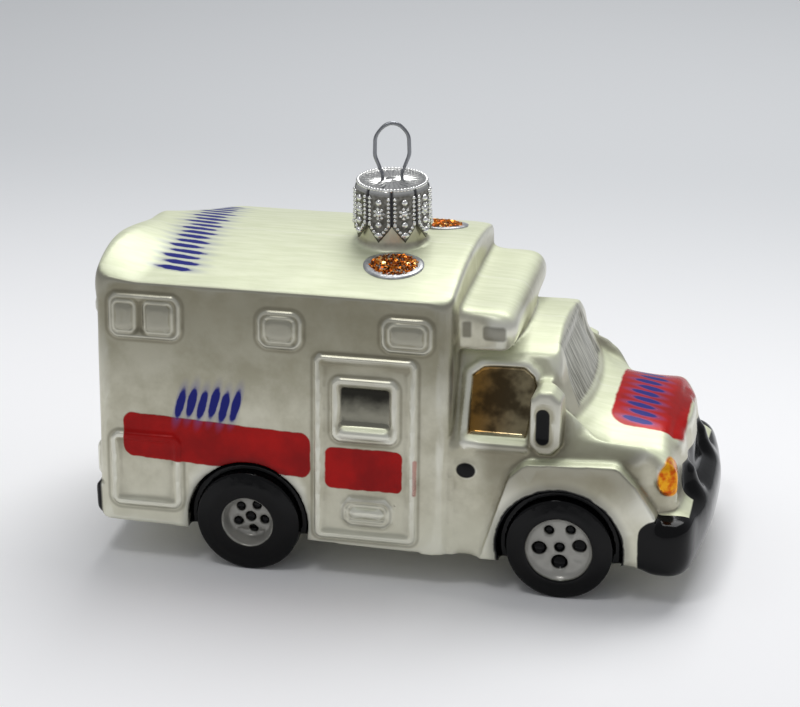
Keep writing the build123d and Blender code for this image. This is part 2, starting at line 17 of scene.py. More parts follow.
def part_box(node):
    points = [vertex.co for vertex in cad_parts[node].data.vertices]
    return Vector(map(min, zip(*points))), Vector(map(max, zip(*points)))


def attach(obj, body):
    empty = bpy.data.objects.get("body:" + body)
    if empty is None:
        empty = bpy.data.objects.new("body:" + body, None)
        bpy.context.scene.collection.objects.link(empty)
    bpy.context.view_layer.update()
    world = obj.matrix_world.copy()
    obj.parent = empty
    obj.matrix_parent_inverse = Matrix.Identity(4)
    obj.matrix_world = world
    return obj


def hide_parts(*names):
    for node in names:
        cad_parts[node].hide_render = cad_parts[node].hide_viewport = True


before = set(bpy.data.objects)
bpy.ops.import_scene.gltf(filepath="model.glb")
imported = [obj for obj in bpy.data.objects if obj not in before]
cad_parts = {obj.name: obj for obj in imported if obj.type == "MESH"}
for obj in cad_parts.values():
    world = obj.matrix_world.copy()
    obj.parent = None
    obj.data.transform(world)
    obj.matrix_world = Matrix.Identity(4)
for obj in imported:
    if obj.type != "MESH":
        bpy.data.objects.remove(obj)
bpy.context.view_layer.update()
MM = 0.001
scene = bpy.context.scene

# %% [markdown]
# ## Stations
# The moulded form is laid out from a few places along its length and up its height.
# They are named once here, in millimetres from the middle of the ground line, and the
# paint and the small pieces are placed by them.

# %% Name the stations of the form
body_low, body_high = (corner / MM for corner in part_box("glass_body"))
box_back_x = body_low.x + 0.9
box_front_x = box_back_x + 65.9
nose_x = body_high.x - 4.3
waist_z = 27.0
roof_z = 57.2
roof_radius = 71.6
rear_axle_x = box_back_x + 28.4
front_axle_x = box_front_x + 19.8
tyre_radius = 9.72
neck_x = box_front_x - 15.5
print("box from", round(box_back_x, 1), "to", round(box_front_x, 1), "nose", round(nose_x, 1))

# %% [markdown]
# ## Camera
# A long lens from a little above and to the right of the front wheel, as for a product
# this small. The place comes from two angles and a distance round a point inside the
# ornament, so it is easy to change.

# %% Place the camera
camera_turn = math.radians(12.35)
camera_rise = math.radians(22.64)
camera_roll = math.radians(-0.41)
camera_distance = 473.19 * MM
camera_target = Vector((-4.32, 0.0, 34.57)) * MM
focal_length_px = 2549.06
picture_width_px = 800

camera_data = bpy.data.cameras.new("camera")
camera_data.sensor_width = 36.0
camera_data.lens = focal_length_px / picture_width_px * camera_data.sensor_width
camera_data.clip_start = 0.01
camera_data.clip_end = 20.0
camera = bpy.data.objects.new("camera", camera_data)
scene.collection.objects.link(camera)
scene.camera = camera

back = Vector((
    math.sin(camera_turn) * math.cos(camera_rise),
    -math.cos(camera_turn) * math.cos(camera_rise),
    math.sin(camera_rise),
))
level = Vector((math.cos(camera_turn), math.sin(camera_turn), 0.0))
upward = back.cross(level)
right = level * math.cos(camera_roll) + upward * math.sin(camera_roll)
up = upward * math.cos(camera_roll) - level * math.sin(camera_roll)
camera.matrix_world = Matrix.LocRotScale(
    camera_target + back * camera_distance,
    Matrix((right, up, back)).transposed().to_quaternion(),
    None,
)
print("lens, mm:", round(camera_data.lens, 1))

# %% [markdown]
# ## A helper for paint
# Hand paint is a stack of simple shapes with slightly unsteady edges. Each shape is a
# distance, worked out from the object's own coordinates by a few shader nodes, and a
# narrow step turns the distance into a mask. The helper below adds the nodes, so that a
# mask or a colour is one short call.

# %% Write the paint helper
def srgb(red, green, blue):
    """A colour given as it looks on a screen, 0 to 255, as the linear colour that nodes use."""
    linear = []
    for value in (red, green, blue):
        value /= 255
        linear.append(value / 12.92 if value <= 0.04045 else ((value + 0.055) / 1.055) ** 2.4)
    return (*linear, 1.0)


def fill(tree, socket, value):
    """Links a socket to the result of another node, or sets it to a plain value."""
    if isinstance(value, bpy.types.NodeSocket):
        tree.links.new(value, socket)
    else:
        socket.default_value = value


class Paint:
    """A node material with one Principled shader, and short calls that add nodes to it."""

    def __init__(self, name):
        self.material = bpy.data.materials.new(name)
        self.material.use_nodes = True
        self.tree = self.material.node_tree
        self.tree.nodes.clear()
        self.shader = self.tree.nodes.new("ShaderNodeBsdfPrincipled")
        output = self.tree.nodes.new("ShaderNodeOutputMaterial")
        self.tree.links.new(self.shader.outputs["BSDF"], output.inputs["Surface"])

    def set(self, **values):
        """Fills the shader's sockets, named with underscores for spaces."""
        for name, value in values.items():
            fill(self.tree, self.shader.inputs[name.replace("_", " ")], value)

    def add(self, kind, *values, output=0, **options):
        """Adds a node, fills its first inputs in order and returns one of its outputs."""
        node = self.tree.nodes.new(kind)
        for name, value in options.items():
            setattr(node, name, value)
        for socket, value in zip(node.inputs, values):
            fill(self.tree, socket, value)
        return node.outputs[output]

    def math(self, operation, *values):
        return self.add("ShaderNodeMath", *values, operation=operation)

    def vector(self, operation, *values):
        result = "Value" if operation == "LENGTH" else "Vector"
        return self.add("ShaderNodeVectorMath", *values, output=result, operation=operation)

    def attribute(self, name):
        """Reads a number kept on the mesh."""
        return self.add("ShaderNodeAttribute", output="Fac", attribute_name=name)

    def place(self):
        """The object's own coordinates in millimetres: the vector, then x, y and z."""
        coordinates = self.add("ShaderNodeTexCoord", output="Object")
        scaled = self.vector("MULTIPLY", coordinates, (1 / MM,) * 3)
        split = self.tree.nodes.new("ShaderNodeSeparateXYZ")
        fill(self.tree, split.inputs[0], scaled)
        return (scaled, *split.outputs)

    def flat(self, across, along):
        """Two lengths put together as a place on a sheet."""
        return self.add("ShaderNodeCombineXYZ", across, along)

    def noise(self, vector, size, detail=2.0, roughness=0.5, stretch=(1, 1, 1)):
        """Cloudy noise from 0 to 1; size is the width of a cloud in millimetres."""
        clouds = self.vector("DIVIDE", vector, tuple(s * size for s in stretch))
        return self.add("ShaderNodeTexNoise", clouds, 0.0, 1.0, detail, roughness, output="Fac")

    def ramp(self, value, start, end, first=0.0, last=1.0):
        """A smooth step from first to last as value goes from start to end."""
        step = {"output": "Result", "interpolation_type": "SMOOTHSTEP"}
        return self.add("ShaderNodeMapRange", value, start, end, first, last, **step)

    def mix(self, share, below, above, kind="RGBA"):
        """A colour between two others, or a number between two others."""
        first, result = (6, 2) if kind == "RGBA" else (2, 0)
        node = self.tree.nodes.new("ShaderNodeMix")
        node.data_type = kind
        for index, value in zip((0, first, first + 1), (share, below, above)):
            fill(self.tree, node.inputs[index], value)
        return node.outputs[result]

    def blend(self, share, below, above):
        """A number between two others."""
        return self.mix(share, below, above, "FLOAT")

    def mottled(self, vector, size, dark, pale, low=0.3, **look):
        """Two colours mixed in soft clouds."""
        cloud = self.noise(vector, size, **look)
        return self.mix(self.ramp(cloud, low, 1 - low), dark, pale)

    def invert(self, mask):
        """Where a mask is not."""
        return self.math("SUBTRACT", 1.0, mask)

    def both(self, *masks):
        """Where all the masks meet."""
        return reduce(lambda first, mask: self.math("MULTIPLY", first, mask), masks)

    def either(self, *masks):
        """Where any of the masks is."""
        return reduce(lambda first, mask: self.math("MAXIMUM", first, mask), masks)

    def box(self, sheet, centre, half, corner=0.5):
        """Distance from a rectangle with round corners, below zero inside it."""
        away = self.vector("ABSOLUTE", self.vector("SUBTRACT", sheet, (*centre, 0)))
        away = self.vector("SUBTRACT", away, (half[0] - corner, half[1] - corner, 1))
        away = self.vector("MAXIMUM", away, (0, 0, 0))
        return self.math("SUBTRACT", self.vector("LENGTH", away), corner)

    def disc(self, sheet, centre, half):
        """Distance from an ellipse, below zero inside it."""
        away = self.vector("SUBTRACT", sheet, (*centre, 0))
        away = self.vector("LENGTH", self.vector("DIVIDE", away, (*half, 1)))
        return self.math("MULTIPLY", self.math("SUBTRACT", away, 1), min(half))

    def inside(self, distance, edge=0.12):
        """A mask that is 1 inside a shape, with an edge of that softness in millimetres."""
        return self.ramp(distance, edge, -edge)

    def bump(self, height, strength):
        """A shading normal from heights in millimetres."""
        node = self.tree.nodes.new("ShaderNodeBump")
        fill(self.tree, node.inputs["Height"], height)
        node.inputs["Strength"].default_value = strength
        node.inputs["Distance"].default_value = MM
        return node.outputs["Normal"]


print("paint helper ready")

# %% [markdown]
# ## The blown surface
# Molten glass can't follow a sharp corner of the mould, so every edge and ridge of the
# real ornament is soft. The CAD form is exact, so it is made again: its outer skin is
# kept, closed with a pocket down the neck, turned into small even voxels, and relaxed.
# Voxels are used because they melt all the overlapping forms into one skin.

# %% Write the mesh helpers
weld_distance = 0.002 * MM


def merged_copy(node):
    """A bmesh copy of a CAD node, with its loose triangles joined."""
    copy = bmesh.new()
    copy.from_mesh(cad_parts[node].data)
    bmesh.ops.remove_doubles(copy, verts=copy.verts, dist=weld_distance)
    return copy


def new_piece(name, shape):
    """A new object from a bmesh, or from lists of points, edges and faces."""
    mesh = bpy.data.meshes.new(name)
    if isinstance(shape, bmesh.types.BMesh):
        shape.to_mesh(mesh)
        shape.free()
    else:
        mesh.from_pydata(*shape)
    piece = bpy.data.objects.new(name, mesh)
    scene.collection.objects.link(piece)
    return piece


def join_rings(mesh, rings, top, base=None):
    """Joins rings of points in a bmesh, with a fan to a top point and perhaps to a base one."""
    count = len(rings[0])
    for i in range(count):
        j = (i + 1) % count
        mesh.faces.new((top, rings[0][i], rings[0][j]))
        if base is not None:
            mesh.faces.new((base, rings[-1][j], rings[-1][i]))
        for upper, lower in zip(rings, rings[1:]):
            mesh.faces.new((upper[i], lower[i], lower[j], upper[j]))
    bmesh.ops.recalc_face_normals(mesh, faces=mesh.faces)


def apply_modifiers(piece):
    """Turns a piece and its modifiers into a plain mesh."""
    graph = bpy.context.evaluated_depsgraph_get()
    mesh = bpy.data.meshes.new_from_object(piece.evaluated_get(graph))
    piece.modifiers.clear()
    piece.data = mesh
    return piece


def read_vectors(piece, name):
    """The places or the normals of all points of a piece, as one array."""
    values = np.empty(3 * len(piece.data.vertices), np.float32)
    piece.data.vertices.foreach_get(name, values)
    return values.reshape(-1, 3)


def move_points(piece, places):
    """Puts the points of a piece at new places, in metres."""
    piece.data.vertices.foreach_set("co", places.astype(np.float32).ravel())
    piece.data.update()


def coat_with(mesh, paint):
    """One material for a whole mesh."""
    mesh.materials.clear()
    mesh.materials.append(paint.material)


def finish_piece(piece, paint):
    """Smooth shading and one material for a whole piece."""
    piece.data.polygons.foreach_set("use_smooth", [True] * len(piece.data.polygons))
    coat_with(piece.data, paint)


print("mesh helpers ready")

# %% Keep the outer skin of the glass and close it down the neck
neck_pocket_depth = 11.0 * MM


def outer_skin(node):
    """A copy of the hollow glass without its inside, as a closed bmesh."""
    skin = merged_copy(node)
    rim_z = max(v.co.z for v in skin.verts)
    rim = [v for v in skin.verts if v.co.z > rim_z - weld_distance]
    centre_x = sum(v.co.x for v in rim) / len(rim)
    reach = {v: math.hypot(v.co.x - centre_x, v.co.y) for v in skin.verts}
    bore = min(reach[v] for v in rim)
    slack = 0.02 * MM
    walls = [
        f for f in skin.faces
        if all(abs(reach[v] - bore) < slack and v.co.z > roof_z * MM - 3 * MM for v in f.verts)
    ]
    bmesh.ops.delete(skin, geom=walls, context="FACES")
    outside = set(rim)
    frontier = list(rim)
    while frontier:
        vertex = frontier.pop()
        for edge in vertex.link_edges:
            if edge.is_valid and edge.link_faces and edge.other_vert(vertex) not in outside:
                outside.add(edge.other_vert(vertex))
                frontier.append(edge.other_vert(vertex))
    bmesh.ops.delete(skin, geom=[v for v in skin.verts if v not in outside], context="VERTS")
    mouth = [e for e in skin.edges if e.is_boundary]
    sides = bmesh.ops.extrude_edge_only(skin, edges=mouth)["geom"]
    foot = [v for v in sides if isinstance(v, bmesh.types.BMVert)]
    bmesh.ops.translate(skin, verts=foot, vec=(0, 0, -neck_pocket_depth))
    bmesh.ops.contextual_create(skin, geom=[e for e in skin.edges if e.is_boundary])
    bmesh.ops.recalc_face_normals(skin, faces=skin.faces)
    return skin


skin = outer_skin("glass_body")
open_edges = sum(not e.is_manifold for e in skin.edges)
print("outer skin:", len(skin.verts), "points, open edges:", open_edges)

# %% Melt the skin into even voxels and relax it
voxel_size = 0.34 * MM
relax_rounds = 10
glass = new_piece("blown_glass", skin)
remesh = glass.modifiers.new("melt", "REMESH")
remesh.mode = "VOXEL"
remesh.voxel_size = voxel_size
remesh.adaptivity = 0.0
relax = glass.modifiers.new("relax", "SMOOTH")
relax.factor = 0.5
relax.iterations = relax_rounds
apply_modifiers(glass)
print("voxel skin:", len(glass.data.vertices), "points")

# %% [markdown]
# A blown piece is never the exact shape of its drawing. Softer glass at the ends of the
# mould sags and draws back, so the skin is eased, as with proportional editing: each rule
# moves the points of one region and fades out smoothly at its border. The back of the roof
# swells, the bonnet's sides fall away, the nose is swept back, the bumper's ends droop, one
# mirror came out stunted, and the tyres keep their full round edge.

# %% Write the easing helpers
def read_edges(piece):
    """The two points of every edge of a piece."""
    pairs = np.empty(2 * len(piece.data.edges), np.int32)
    piece.data.edges.foreach_get("vertices", pairs)
    return pairs.reshape(-1, 2)


def spread(values, edges, rounds, share=0.5):
    """Values averaged with their neighbours along the edges, several times."""
    count = len(values)
    uses = np.maximum(np.bincount(edges.ravel(), minlength=count), 1)
    for _ in range(rounds):
        total = np.zeros_like(values)
        for axis in range(values.shape[1]):
            total[:, axis] = np.bincount(edges[:, 0], values[edges[:, 1], axis], count)
            total[:, axis] += np.bincount(edges[:, 1], values[edges[:, 0], axis], count)
        values = values + share * (total / uses[:, None] - values)
    return values


def rise(values, start, end):
    """A smooth step from 0 to 1 as the values go from start to end, which may be lower."""
    share = np.clip((values - start) / (end - start), 0, 1)
    return share * share * (3 - 2 * share)


def near(places, centre, reach):
    """1 at a centre, falling smoothly to 0 at its reach along each axis."""
    squared = (((places - np.array(centre)) / np.array(reach)) ** 2).sum(1)
    return np.clip(1 - squared, 0, None) ** 2


places = read_vectors(glass, "co").astype(float) / MM
px, py, pz = places.T
print("points to ease:", len(places))

# %% Ease the roof, the bonnet, the nose and the windscreen
swellings = (
    # centre, reach, move
    ((-57, -10, 56), (13, 19, 10), (-1.6, 0, 3.0)),
    ((-53, 22, 57), (14, 15, 12), (3.0, -0.8, -3.2)),
)
for centre, reach, move in swellings:
    places += near(places, centre, reach)[:, None] * np.array(move)
out = np.abs(py)

bonnet_fall = 2.5
fall = bonnet_fall * (1 + 0.5 * rise(py, 6, 14)) * rise(px, 33, 38) * rise(pz, 22.5, 27.5)
fall *= 1 - 0.4 * rise(px, 40, 50)
fall *= np.where(py > 0, 1.0, rise(out, 21.5, 18.5))
places[:, 2] -= fall * np.clip(out / 17, 0, 1.15) ** 3

nose_sweep, lower_sweep, overrider_sweep = 2.2, 1.2, 1.3
nose = rise(pz, 13, 19)
sweep = nose * (nose_sweep + 1.2 * (out / 19) ** 2) + 0.5 * rise(pz, 20, 27)
sweep *= 1 - 0.6 * rise(-py, 16, 20)
sweep += (1 - nose) * (lower_sweep + 1.5 * (out / 24) ** 2)
overrider = overrider_sweep * rise(pz, 15.5, 18.5) * rise(px, 48.5, 51.5) * rise(out, 4.5, 6.5)
sweep += overrider * rise(out, 14, 12)
places[:, 0] -= sweep * rise(px, 43.0, 55)

screen_sweep = 2.2
screen = rise(px, 24, 31) * rise(px, 40, 35) * rise(pz, 28, 31) * rise(pz, 43, 37)
screen *= rise(out, 19.5, 17.5)
places[:, 0] -= screen_sweep * screen * np.clip(out / 17, 0, 1.1) ** 2
print("eased by up to", round(float(np.max(sweep)), 1), "mm at the nose")

# %% Droop the bumper, stunt one mirror and lower the neck
bumper_droop = 1.5
places[:, 2] -= bumper_droop * rise(px, 41, 46) * rise(pz, 13, 8) * rise(out, 10, 20)

mirror_loss = 0.5
cab_lean = 0.577
beyond_cab = py + cab_lean * np.clip(pz - waist_z, 0, None) - 22.0
stunted = rise(beyond_cab, 0.4, 1.4) * rise(px, 21.5, 23.2) * rise(px, 33, 31) * rise(pz, 26, 28)
places[:, 2] -= mirror_loss * stunted * (pz - waist_z)

neck_drop = 0.65
places[:, 2] -= neck_drop * rise(pz, 59.5, 66) * (np.hypot(px - neck_x, py) < 9)
print("neck lowered by", neck_drop, "mm")

# %% [markdown]
# The relaxing rounded the tyres too much, so their edges grow back to the full radius.
# The holes of each wheel are dents in the hub, five round a middle one behind and an
# uneven set in front. They are in a table, because the paint puts black dots there too.

# %% Grow the tyres back and dent the hubs
front_holes = (
    # distance from the axle, angle, radius
    (0, 0, 0.95), (2.9, 270, 1.5), (3.65, 9, 1.35), (3.7, 186, 1.35), (4.1, 62, 0.95),
    (3.8, 121, 0.95),
)
rear_holes = ((0, 0, 1.0), *((2.6, angle, 0.9) for angle in (62, 134, 206, 278, 350)))
wheels = (
    # axle x, black out to, hub radius, holes
    (front_axle_x, 11.8, 6.0, front_holes),
    (rear_axle_x, 11.3, 4.8, rear_holes),
)
hole_depth = 0.75
tyre_growth = 1.12


def hole_place(axle_x, reach, angle):
    """Where a hub's hole lies along and up."""
    angle = math.radians(angle)
    return axle_x + reach * math.cos(angle), tyre_radius + reach * math.sin(angle)


for axle_x, *_ in wheels:
    fore, over = px - axle_x, pz - tyre_radius
    radius = np.hypot(fore, over)
    share = rise(out, 20.5, 22.5) * rise(radius, 7.6, 9.0) * rise(radius, 10.3, 9.9)
    full = np.minimum(tyre_radius - 0.03, radius * tyre_growth)
    growth = 1 + share * (full / np.maximum(radius, 1e-6) - 1)
    places[:, 0] = axle_x + fore * growth
    places[:, 2] = tyre_radius + over * growth
for axle_x, _, _, holes in wheels:
    for reach, angle, radius in holes:
        hole_x, hole_z = hole_place(axle_x, reach, angle)
        dent = rise(np.hypot(px - hole_x, pz - hole_z), radius * 1.15, radius * 0.6)
        places[:, 1] -= hole_depth * dent * rise(out, 20.5, 21.5) * np.sign(py)
places[:, 0] = np.clip(px, body_low.x + 0.05, body_high.x - 0.05)
print("hub holes:", len(front_holes) + len(rear_holes), "a side")

# %% [markdown]
# Thick glass gathers at a few places and rounds them more than the rest: the light bar,
# the box's front edge, the front of the bonnet, the bumper, and the gap by the door. Only
# these are averaged further, by a weight that fades out around them.

# %% Soften the places where thick glass gathered
out = np.abs(py)
softness = np.maximum.reduce((
    rise(px, 10.5, 12) * rise(px, 24, 22) * rise(pz, 43.5, 45),
    0.45 * rise(px, 5, 8) * rise(px, 13, 12) * rise(pz, 43, 48),
    rise(px, 43, 47) * (1 - rise(out, 18, 19) * rise(pz, 24, 22) * rise(px, 51, 50)),
    rise(px, 41, 43) * rise(pz, 17, 16),
    0.6 * rise(px, 10.5, 11.5) * rise(px, 15, 13.5) * rise(pz, 30, 26),
))
soft_rounds = 80
ground_gap = 0.04
links = read_edges(glass)
links = links[(softness[links] > 0).any(1)]
low_edge, high_edge = places.min(0), places.max(0)
low_edge[2] = ground_gap
places = spread(places, links, soft_rounds, 0.5 * softness[:, None])
move_points(glass, np.clip(places, low_edge, high_edge) * MM)
print("softened points:", int((softness > 0).sum()))

# %% [markdown]
# The glass was blown, so no wall is quite flat. A slow noise pushes the skin inwards by
# about a tenth of a millimetre, which makes the reflections wander as they do on the real
# thing. The skin is then thinned with Decimate, because flat walls need few triangles.

# %% Make the walls uneven, then thin the skin
wave_depth = 0.16 * MM
wave_length = 7.0 * MM
triangle_budget = 185000

points = read_vectors(glass, "co")
normals = read_vectors(glass, "normal")
push = np.array([noise.noise(Vector(p) / wave_length) for p in points]) * 0.5 + 0.5
points -= normals * (np.clip(push, 0, 1) * wave_depth)[:, None]
move_points(glass, points)

triangles = sum(len(p.vertices) - 2 for p in glass.data.polygons)
thin = glass.modifiers.new("thin", "DECIMATE")
thin.ratio = min(1.0, triangle_budget / triangles)
thin.use_collapse_triangulate = True
apply_modifiers(glass)
body_box = [np.array(corner) * MM for corner in (body_low + Vector((0, 0, 0.02)), body_high)]
move_points(glass, np.clip(read_vectors(glass, "co"), *body_box))
print("glass skin:", triangles, "triangles, thinned to", len(glass.data.polygons))

# %% [markdown]
# ## What the lacquer needs to know
# Upward faces get a lighter, creamier tone as painted light from above, hollows get
# painted shade and ridges a painted highlight. How far each point faces up and how hollow
# it lies are measured once and kept as attributes, so the material can read them from any side.

# %% Measure how far each point faces up and how hollow it lies
def write_attribute(piece, name, values):
    """Keeps one number for each point of a piece."""
    layer = piece.data.attributes.new(name, "FLOAT", "POINT")
    layer.data.foreach_set("value", np.ascontiguousarray(values, np.float32))


hollow_rounds = 14
edges = read_edges(glass)
points = read_vectors(glass, "co").astype(float)
normals = read_vectors(glass, "normal").astype(float)
hollow = ((spread(points, edges, hollow_rounds) - points) * normals).sum(1) / MM
write_attribute(glass, "upness", spread(normals, edges, 3)[:, 2])
write_attribute(glass, "hollow", hollow)
print("hollow from", round(float(hollow.min()), 2), "to", round(float(hollow.max()), 2), "mm")

# %% [markdown]
# ## The hand paint
# One material covers the glass, as the real coats do: silver pearl everywhere, then red
# enamel, gloss black, amber, and a few blue brush dabs. The first step finds where each
# coat goes. Both sides get the same coats, because the painter turns the ornament over.

# %% Start the glass material and its unsteady brush edge
lacquer = Paint("pearl_and_enamel")
both, either, invert = lacquer.both, lacquer.either, lacquer.invert
calc, ramp, mix, blend = lacquer.math, lacquer.ramp, lacquer.mix, lacquer.blend
spot, x, y, z = lacquer.place()
across = calc("ABSOLUTE", y)
side_sheet = lacquer.flat(x, z)
unsteady = calc("SUBTRACT", lacquer.noise(spot, 2.2, 3.0), 0.5)


def coat(distance, wobble=0.5, edge=0.14):
    """The mask of a hand-painted shape whose outline wanders a little."""
    shifted = calc("MULTIPLY_ADD", unsteady, wobble, distance)
    return lacquer.inside(shifted, edge)


def beyond(value, limit, edge=0.15):
    """A mask that is 1 where a value is over its limit."""
    return ramp(value, limit - edge, limit + edge)


def under(value, limit, edge=0.15):
    """A mask that is 1 where a value is under its limit."""
    return ramp(value, limit + edge, limit - edge)


def side_box(centre, half, corner):
    """Distance from a round-cornered rectangle drawn on the side."""
    return lacquer.box(side_sheet, centre, half, corner)


def side_disc(centre, radius):
    """Distance from a circle drawn on the side."""
    return lacquer.disc(side_sheet, centre, (radius, radius))


upness = lacquer.attribute("upness")
hollow_here = lacquer.attribute("hollow")
on_side = beyond(across, 21.0)
print("coordinates ready")

# %% Place the red enamel
stripe_middle = (-33.2, 24.2)
stripe_fall = 0.045
stripe_along = calc("SUBTRACT", x, stripe_middle[0])
stripe_sheet = lacquer.flat(x, calc("MULTIPLY_ADD", stripe_along, stripe_fall, z))
long_stripe = coat(lacquer.box(stripe_sheet, stripe_middle, (17.5, 4.2), 1.9))
door_stripe = coat(side_box((-5.9, 21.7), (7.1, 3.9), 1.3))
stray_stroke = both(coat(side_box((3.5, 21.0), (0.35, 3.4), 0.3)), 0.5)
side_red = both(on_side, either(long_stripe, door_stripe, stray_stroke))
hood_patch = coat(lacquer.box(lacquer.flat(x, y), (43.2, 1.2), (6.6, 14.1), 3.6), 0.5, 0.25)
hood_red = both(hood_patch, beyond(z, 24.5), beyond(upness, 0.2, 0.1))
red = either(side_red, hood_red)
print("red: two stripes a side and one patch on the bonnet")

# %% [markdown]
# The black coat covers the tyres out to the lip of each arch, the bumpers, the grille and
# its two overriders, the handle, and the glass of the mirror. Around the arches the spray
# is soft. The hubs stay silver with black dots where the wheel's holes would be.

# %% Place the black coat
tyres, hubs, spray = [], [], []
for axle_x, black_radius, hub_radius, hole_list in wheels:
    ring = side_disc((axle_x, tyre_radius), black_radius)
    rim = side_disc((axle_x, tyre_radius), hub_radius)
    holes = [
        coat(side_disc(hole_place(axle_x, reach, angle), radius), 0.35, 0.1)
        for reach, angle, radius in hole_list
    ]
    hub = both(coat(rim, 0.2), beyond(across, 20.5))
    bare = both(hub, invert(either(*holes)))
    outside = beyond(across, 12.0)
    tyres.append(both(coat(ring, 0.7, 0.2), outside, invert(bare)))
    hubs.append(bare)
    spray.append(both(ramp(ring, 1.9, -0.2), outside, 0.45))

nose_slope = 0.342
behind_nose = calc("SUBTRACT", nose_x, x)
bumper_line = calc("MULTIPLY_ADD", behind_nose, nose_slope, 19.8)
bumper_side = calc("GREATER_THAN", across, bumper_line)
bumper_zone = either(bumper_side, beyond(x, nose_x - 0.3))
front_bumper = both(bumper_zone, coat(side_box((53.9, 10.6), (10.1, 6.4), 3.4), 0.3))
overrider_shape = coat(lacquer.box(lacquer.flat(across, z), (9.0, 17), (2.6, 6), 1))
overriders = both(beyond(x, nose_x - 1.6), under(z, 21.8), overrider_shape)
grille = both(beyond(x, nose_x - 2.6), under(across, 13.1), beyond(z, 15.8), under(z, 22.6))
back_bumper = both(under(x, box_back_x + 0.5, 0.3), beyond(z, 8.3), under(z, 15.0))
handle_shape = lacquer.disc(side_sheet, (box_front_x + 2.6, 23.0), (1.75, 1.4))
handle = both(beyond(across, 22), coat(handle_shape, 0.2))
mirror_shape = side_box((box_front_x + 16.4, 32.9), (1.2, 3.3), 1.15)
mirror_glass = both(beyond(across, 23), coat(mirror_shape, 0.2))
black = either(*tyres, front_bumper, overriders, grille, back_bumper, handle, mirror_glass)
overspray = either(*spray)
hub_silver = either(*hubs)
print("black: tyres, bumpers, grille, handles and mirrors")

# %% [markdown]
# The blue trim is rows of brush dabs. One slanted dab, a long thin ellipse, is worked out
# in a repeating cell, and every second one sits a little higher, so the row looks put on
# by hand. A faint copy, wider and softer, is the blur of thin paint round each dab.

# %% Place the blue dabs
def dab_row(sheet_x, sheet_y, start, pitch, count, middle, half, step, slant):
    """A row of slanted dabs along sheet_x: a sharp mask and a blurred one."""
    over = calc("SUBTRACT", sheet_y, middle)
    leaning = calc("MULTIPLY_ADD", over, slant, sheet_x)
    steps = calc("DIVIDE", calc("SUBTRACT", leaning, start), pitch)
    cell = calc("FLOOR", steps)
    along = calc("SUBTRACT", calc("SUBTRACT", steps, cell), 0.5)
    along = calc("MULTIPLY", along, pitch)
    odd = calc("MODULO", calc("ABSOLUTE", cell), 2.0)
    over = calc("MULTIPLY_ADD", odd, -step, over)
    distance = lacquer.disc(lacquer.flat(along, over), (0, 0), half)
    row = both(beyond(leaning, start, 0.05), under(leaning, start + pitch * count, 0.05))
    sharp = both(row, coat(distance, 0.5, 0.12))
    return sharp, both(row, ramp(distance, 0.75, -0.2), 0.4)


faces_upward = beyond(upness, 0.3, 0.1)
up_on_roof = both(faces_upward, beyond(z, 50.0))
up_on_bonnet = both(faces_upward, under(z, 36.0), beyond(z, 26.0))
dab_rows = (
    # zone, sheet x, sheet y, start, pitch, count, middle, half size, step, slant
    (on_side, x, z, -40.9, 2.05, 6, 31.4, (0.78, 2.9), 0.6, -0.25),
    (up_on_roof, y, x, -17.9, 1.95, 18, -41.9, (0.62, 3.4), 0.7, 0.12),
    (up_on_bonnet, y, x, -12.2, 2.7, 9, 41.6, (0.8, 2.6), 0.6, 0.15),
)
dabs = [[both(zone, mask) for mask in dab_row(*row)] for zone, *row in dab_rows]
blue, blue_blur = (either(*masks) for masks in zip(*dabs))
print("blue: rows of dabs on the sides, the roof and the bonnet")

# %% [markdown]
# The panes are the silvering itself under clear lacquer. The side door's pane carries a
# painted reflection, dark at the top and lighter below, the cab's a painted reflection of a
# warm brown room, and the windscreen is brushed white. The lamps on the wings are domes of
# amber lacquer. The left one is lower, because that side of the bonnet fell further.

# %% Place the panes and the amber lamps
def convex(sheet_x, sheet_y, corners):
    """Distance from a shape with straight sides, from its corners in clockwise order."""
    distance = None
    for (ax, ay), (bx, by) in zip(corners, corners[1:] + corners[:1]):
        length = math.hypot(bx - ax, by - ay)
        out_x, out_y = (ay - by) / length, (bx - ax) / length
        side = calc("MULTIPLY", sheet_x, out_x)
        side = calc("MULTIPLY_ADD", sheet_y, out_y, side)
        side = calc("SUBTRACT", side, ax * out_x + ay * out_y)
        distance = side if distance is None else calc("MAXIMUM", distance, side)
    return distance


cab_window = [
    (2.6, 2.9), (2.5, 13.4), (4.4, 15.0), (11.6, 15.3), (13.6, 13.8), (14.2, 12.0), (13.1, 2.9)
]
lean_height = 0.866
window_corners = [(box_front_x + fore, waist_z + lean_height * up) for fore, up in cab_window]
cab_pane = both(
    lacquer.inside(convex(x, z, window_corners), 0.25), beyond(across, 12.5), beyond(z, 28.0)
)
door_pane = lacquer.inside(side_box((box_front_x - 15.7, 33.4), (4.5, 3.6), 0.7), 0.25)
door_pane = both(on_side, door_pane)
screen_corners = [(-13.5, 32.8), (-10.2, 43.2), (10.2, 43.2), (13.5, 32.8)]
windscreen = lacquer.inside(convex(y, z, screen_corners), 0.4)
windscreen = both(windscreen, beyond(x, box_front_x + 16.5), under(x, 34.5))
lamp_centre = (48.8, 20.0, 23.5)
lamp_half = (2.7, 3.6, 3.6)
from_lamp = lacquer.vector("SUBTRACT", lacquer.vector("ABSOLUTE", spot), lamp_centre)
from_lamp = lacquer.vector("LENGTH", lacquer.vector("DIVIDE", from_lamp, lamp_half))
from_lamp = calc("SUBTRACT", from_lamp, 1.0)
lamp = coat(calc("MULTIPLY", from_lamp, min(lamp_half)), 0.3, 0.2)
right_side_or_low = either(under(y, 0.0), under(z, 21.5))
lamp = both(lamp, beyond(x, 40.0), right_side_or_low)
print("panes and lamps placed")

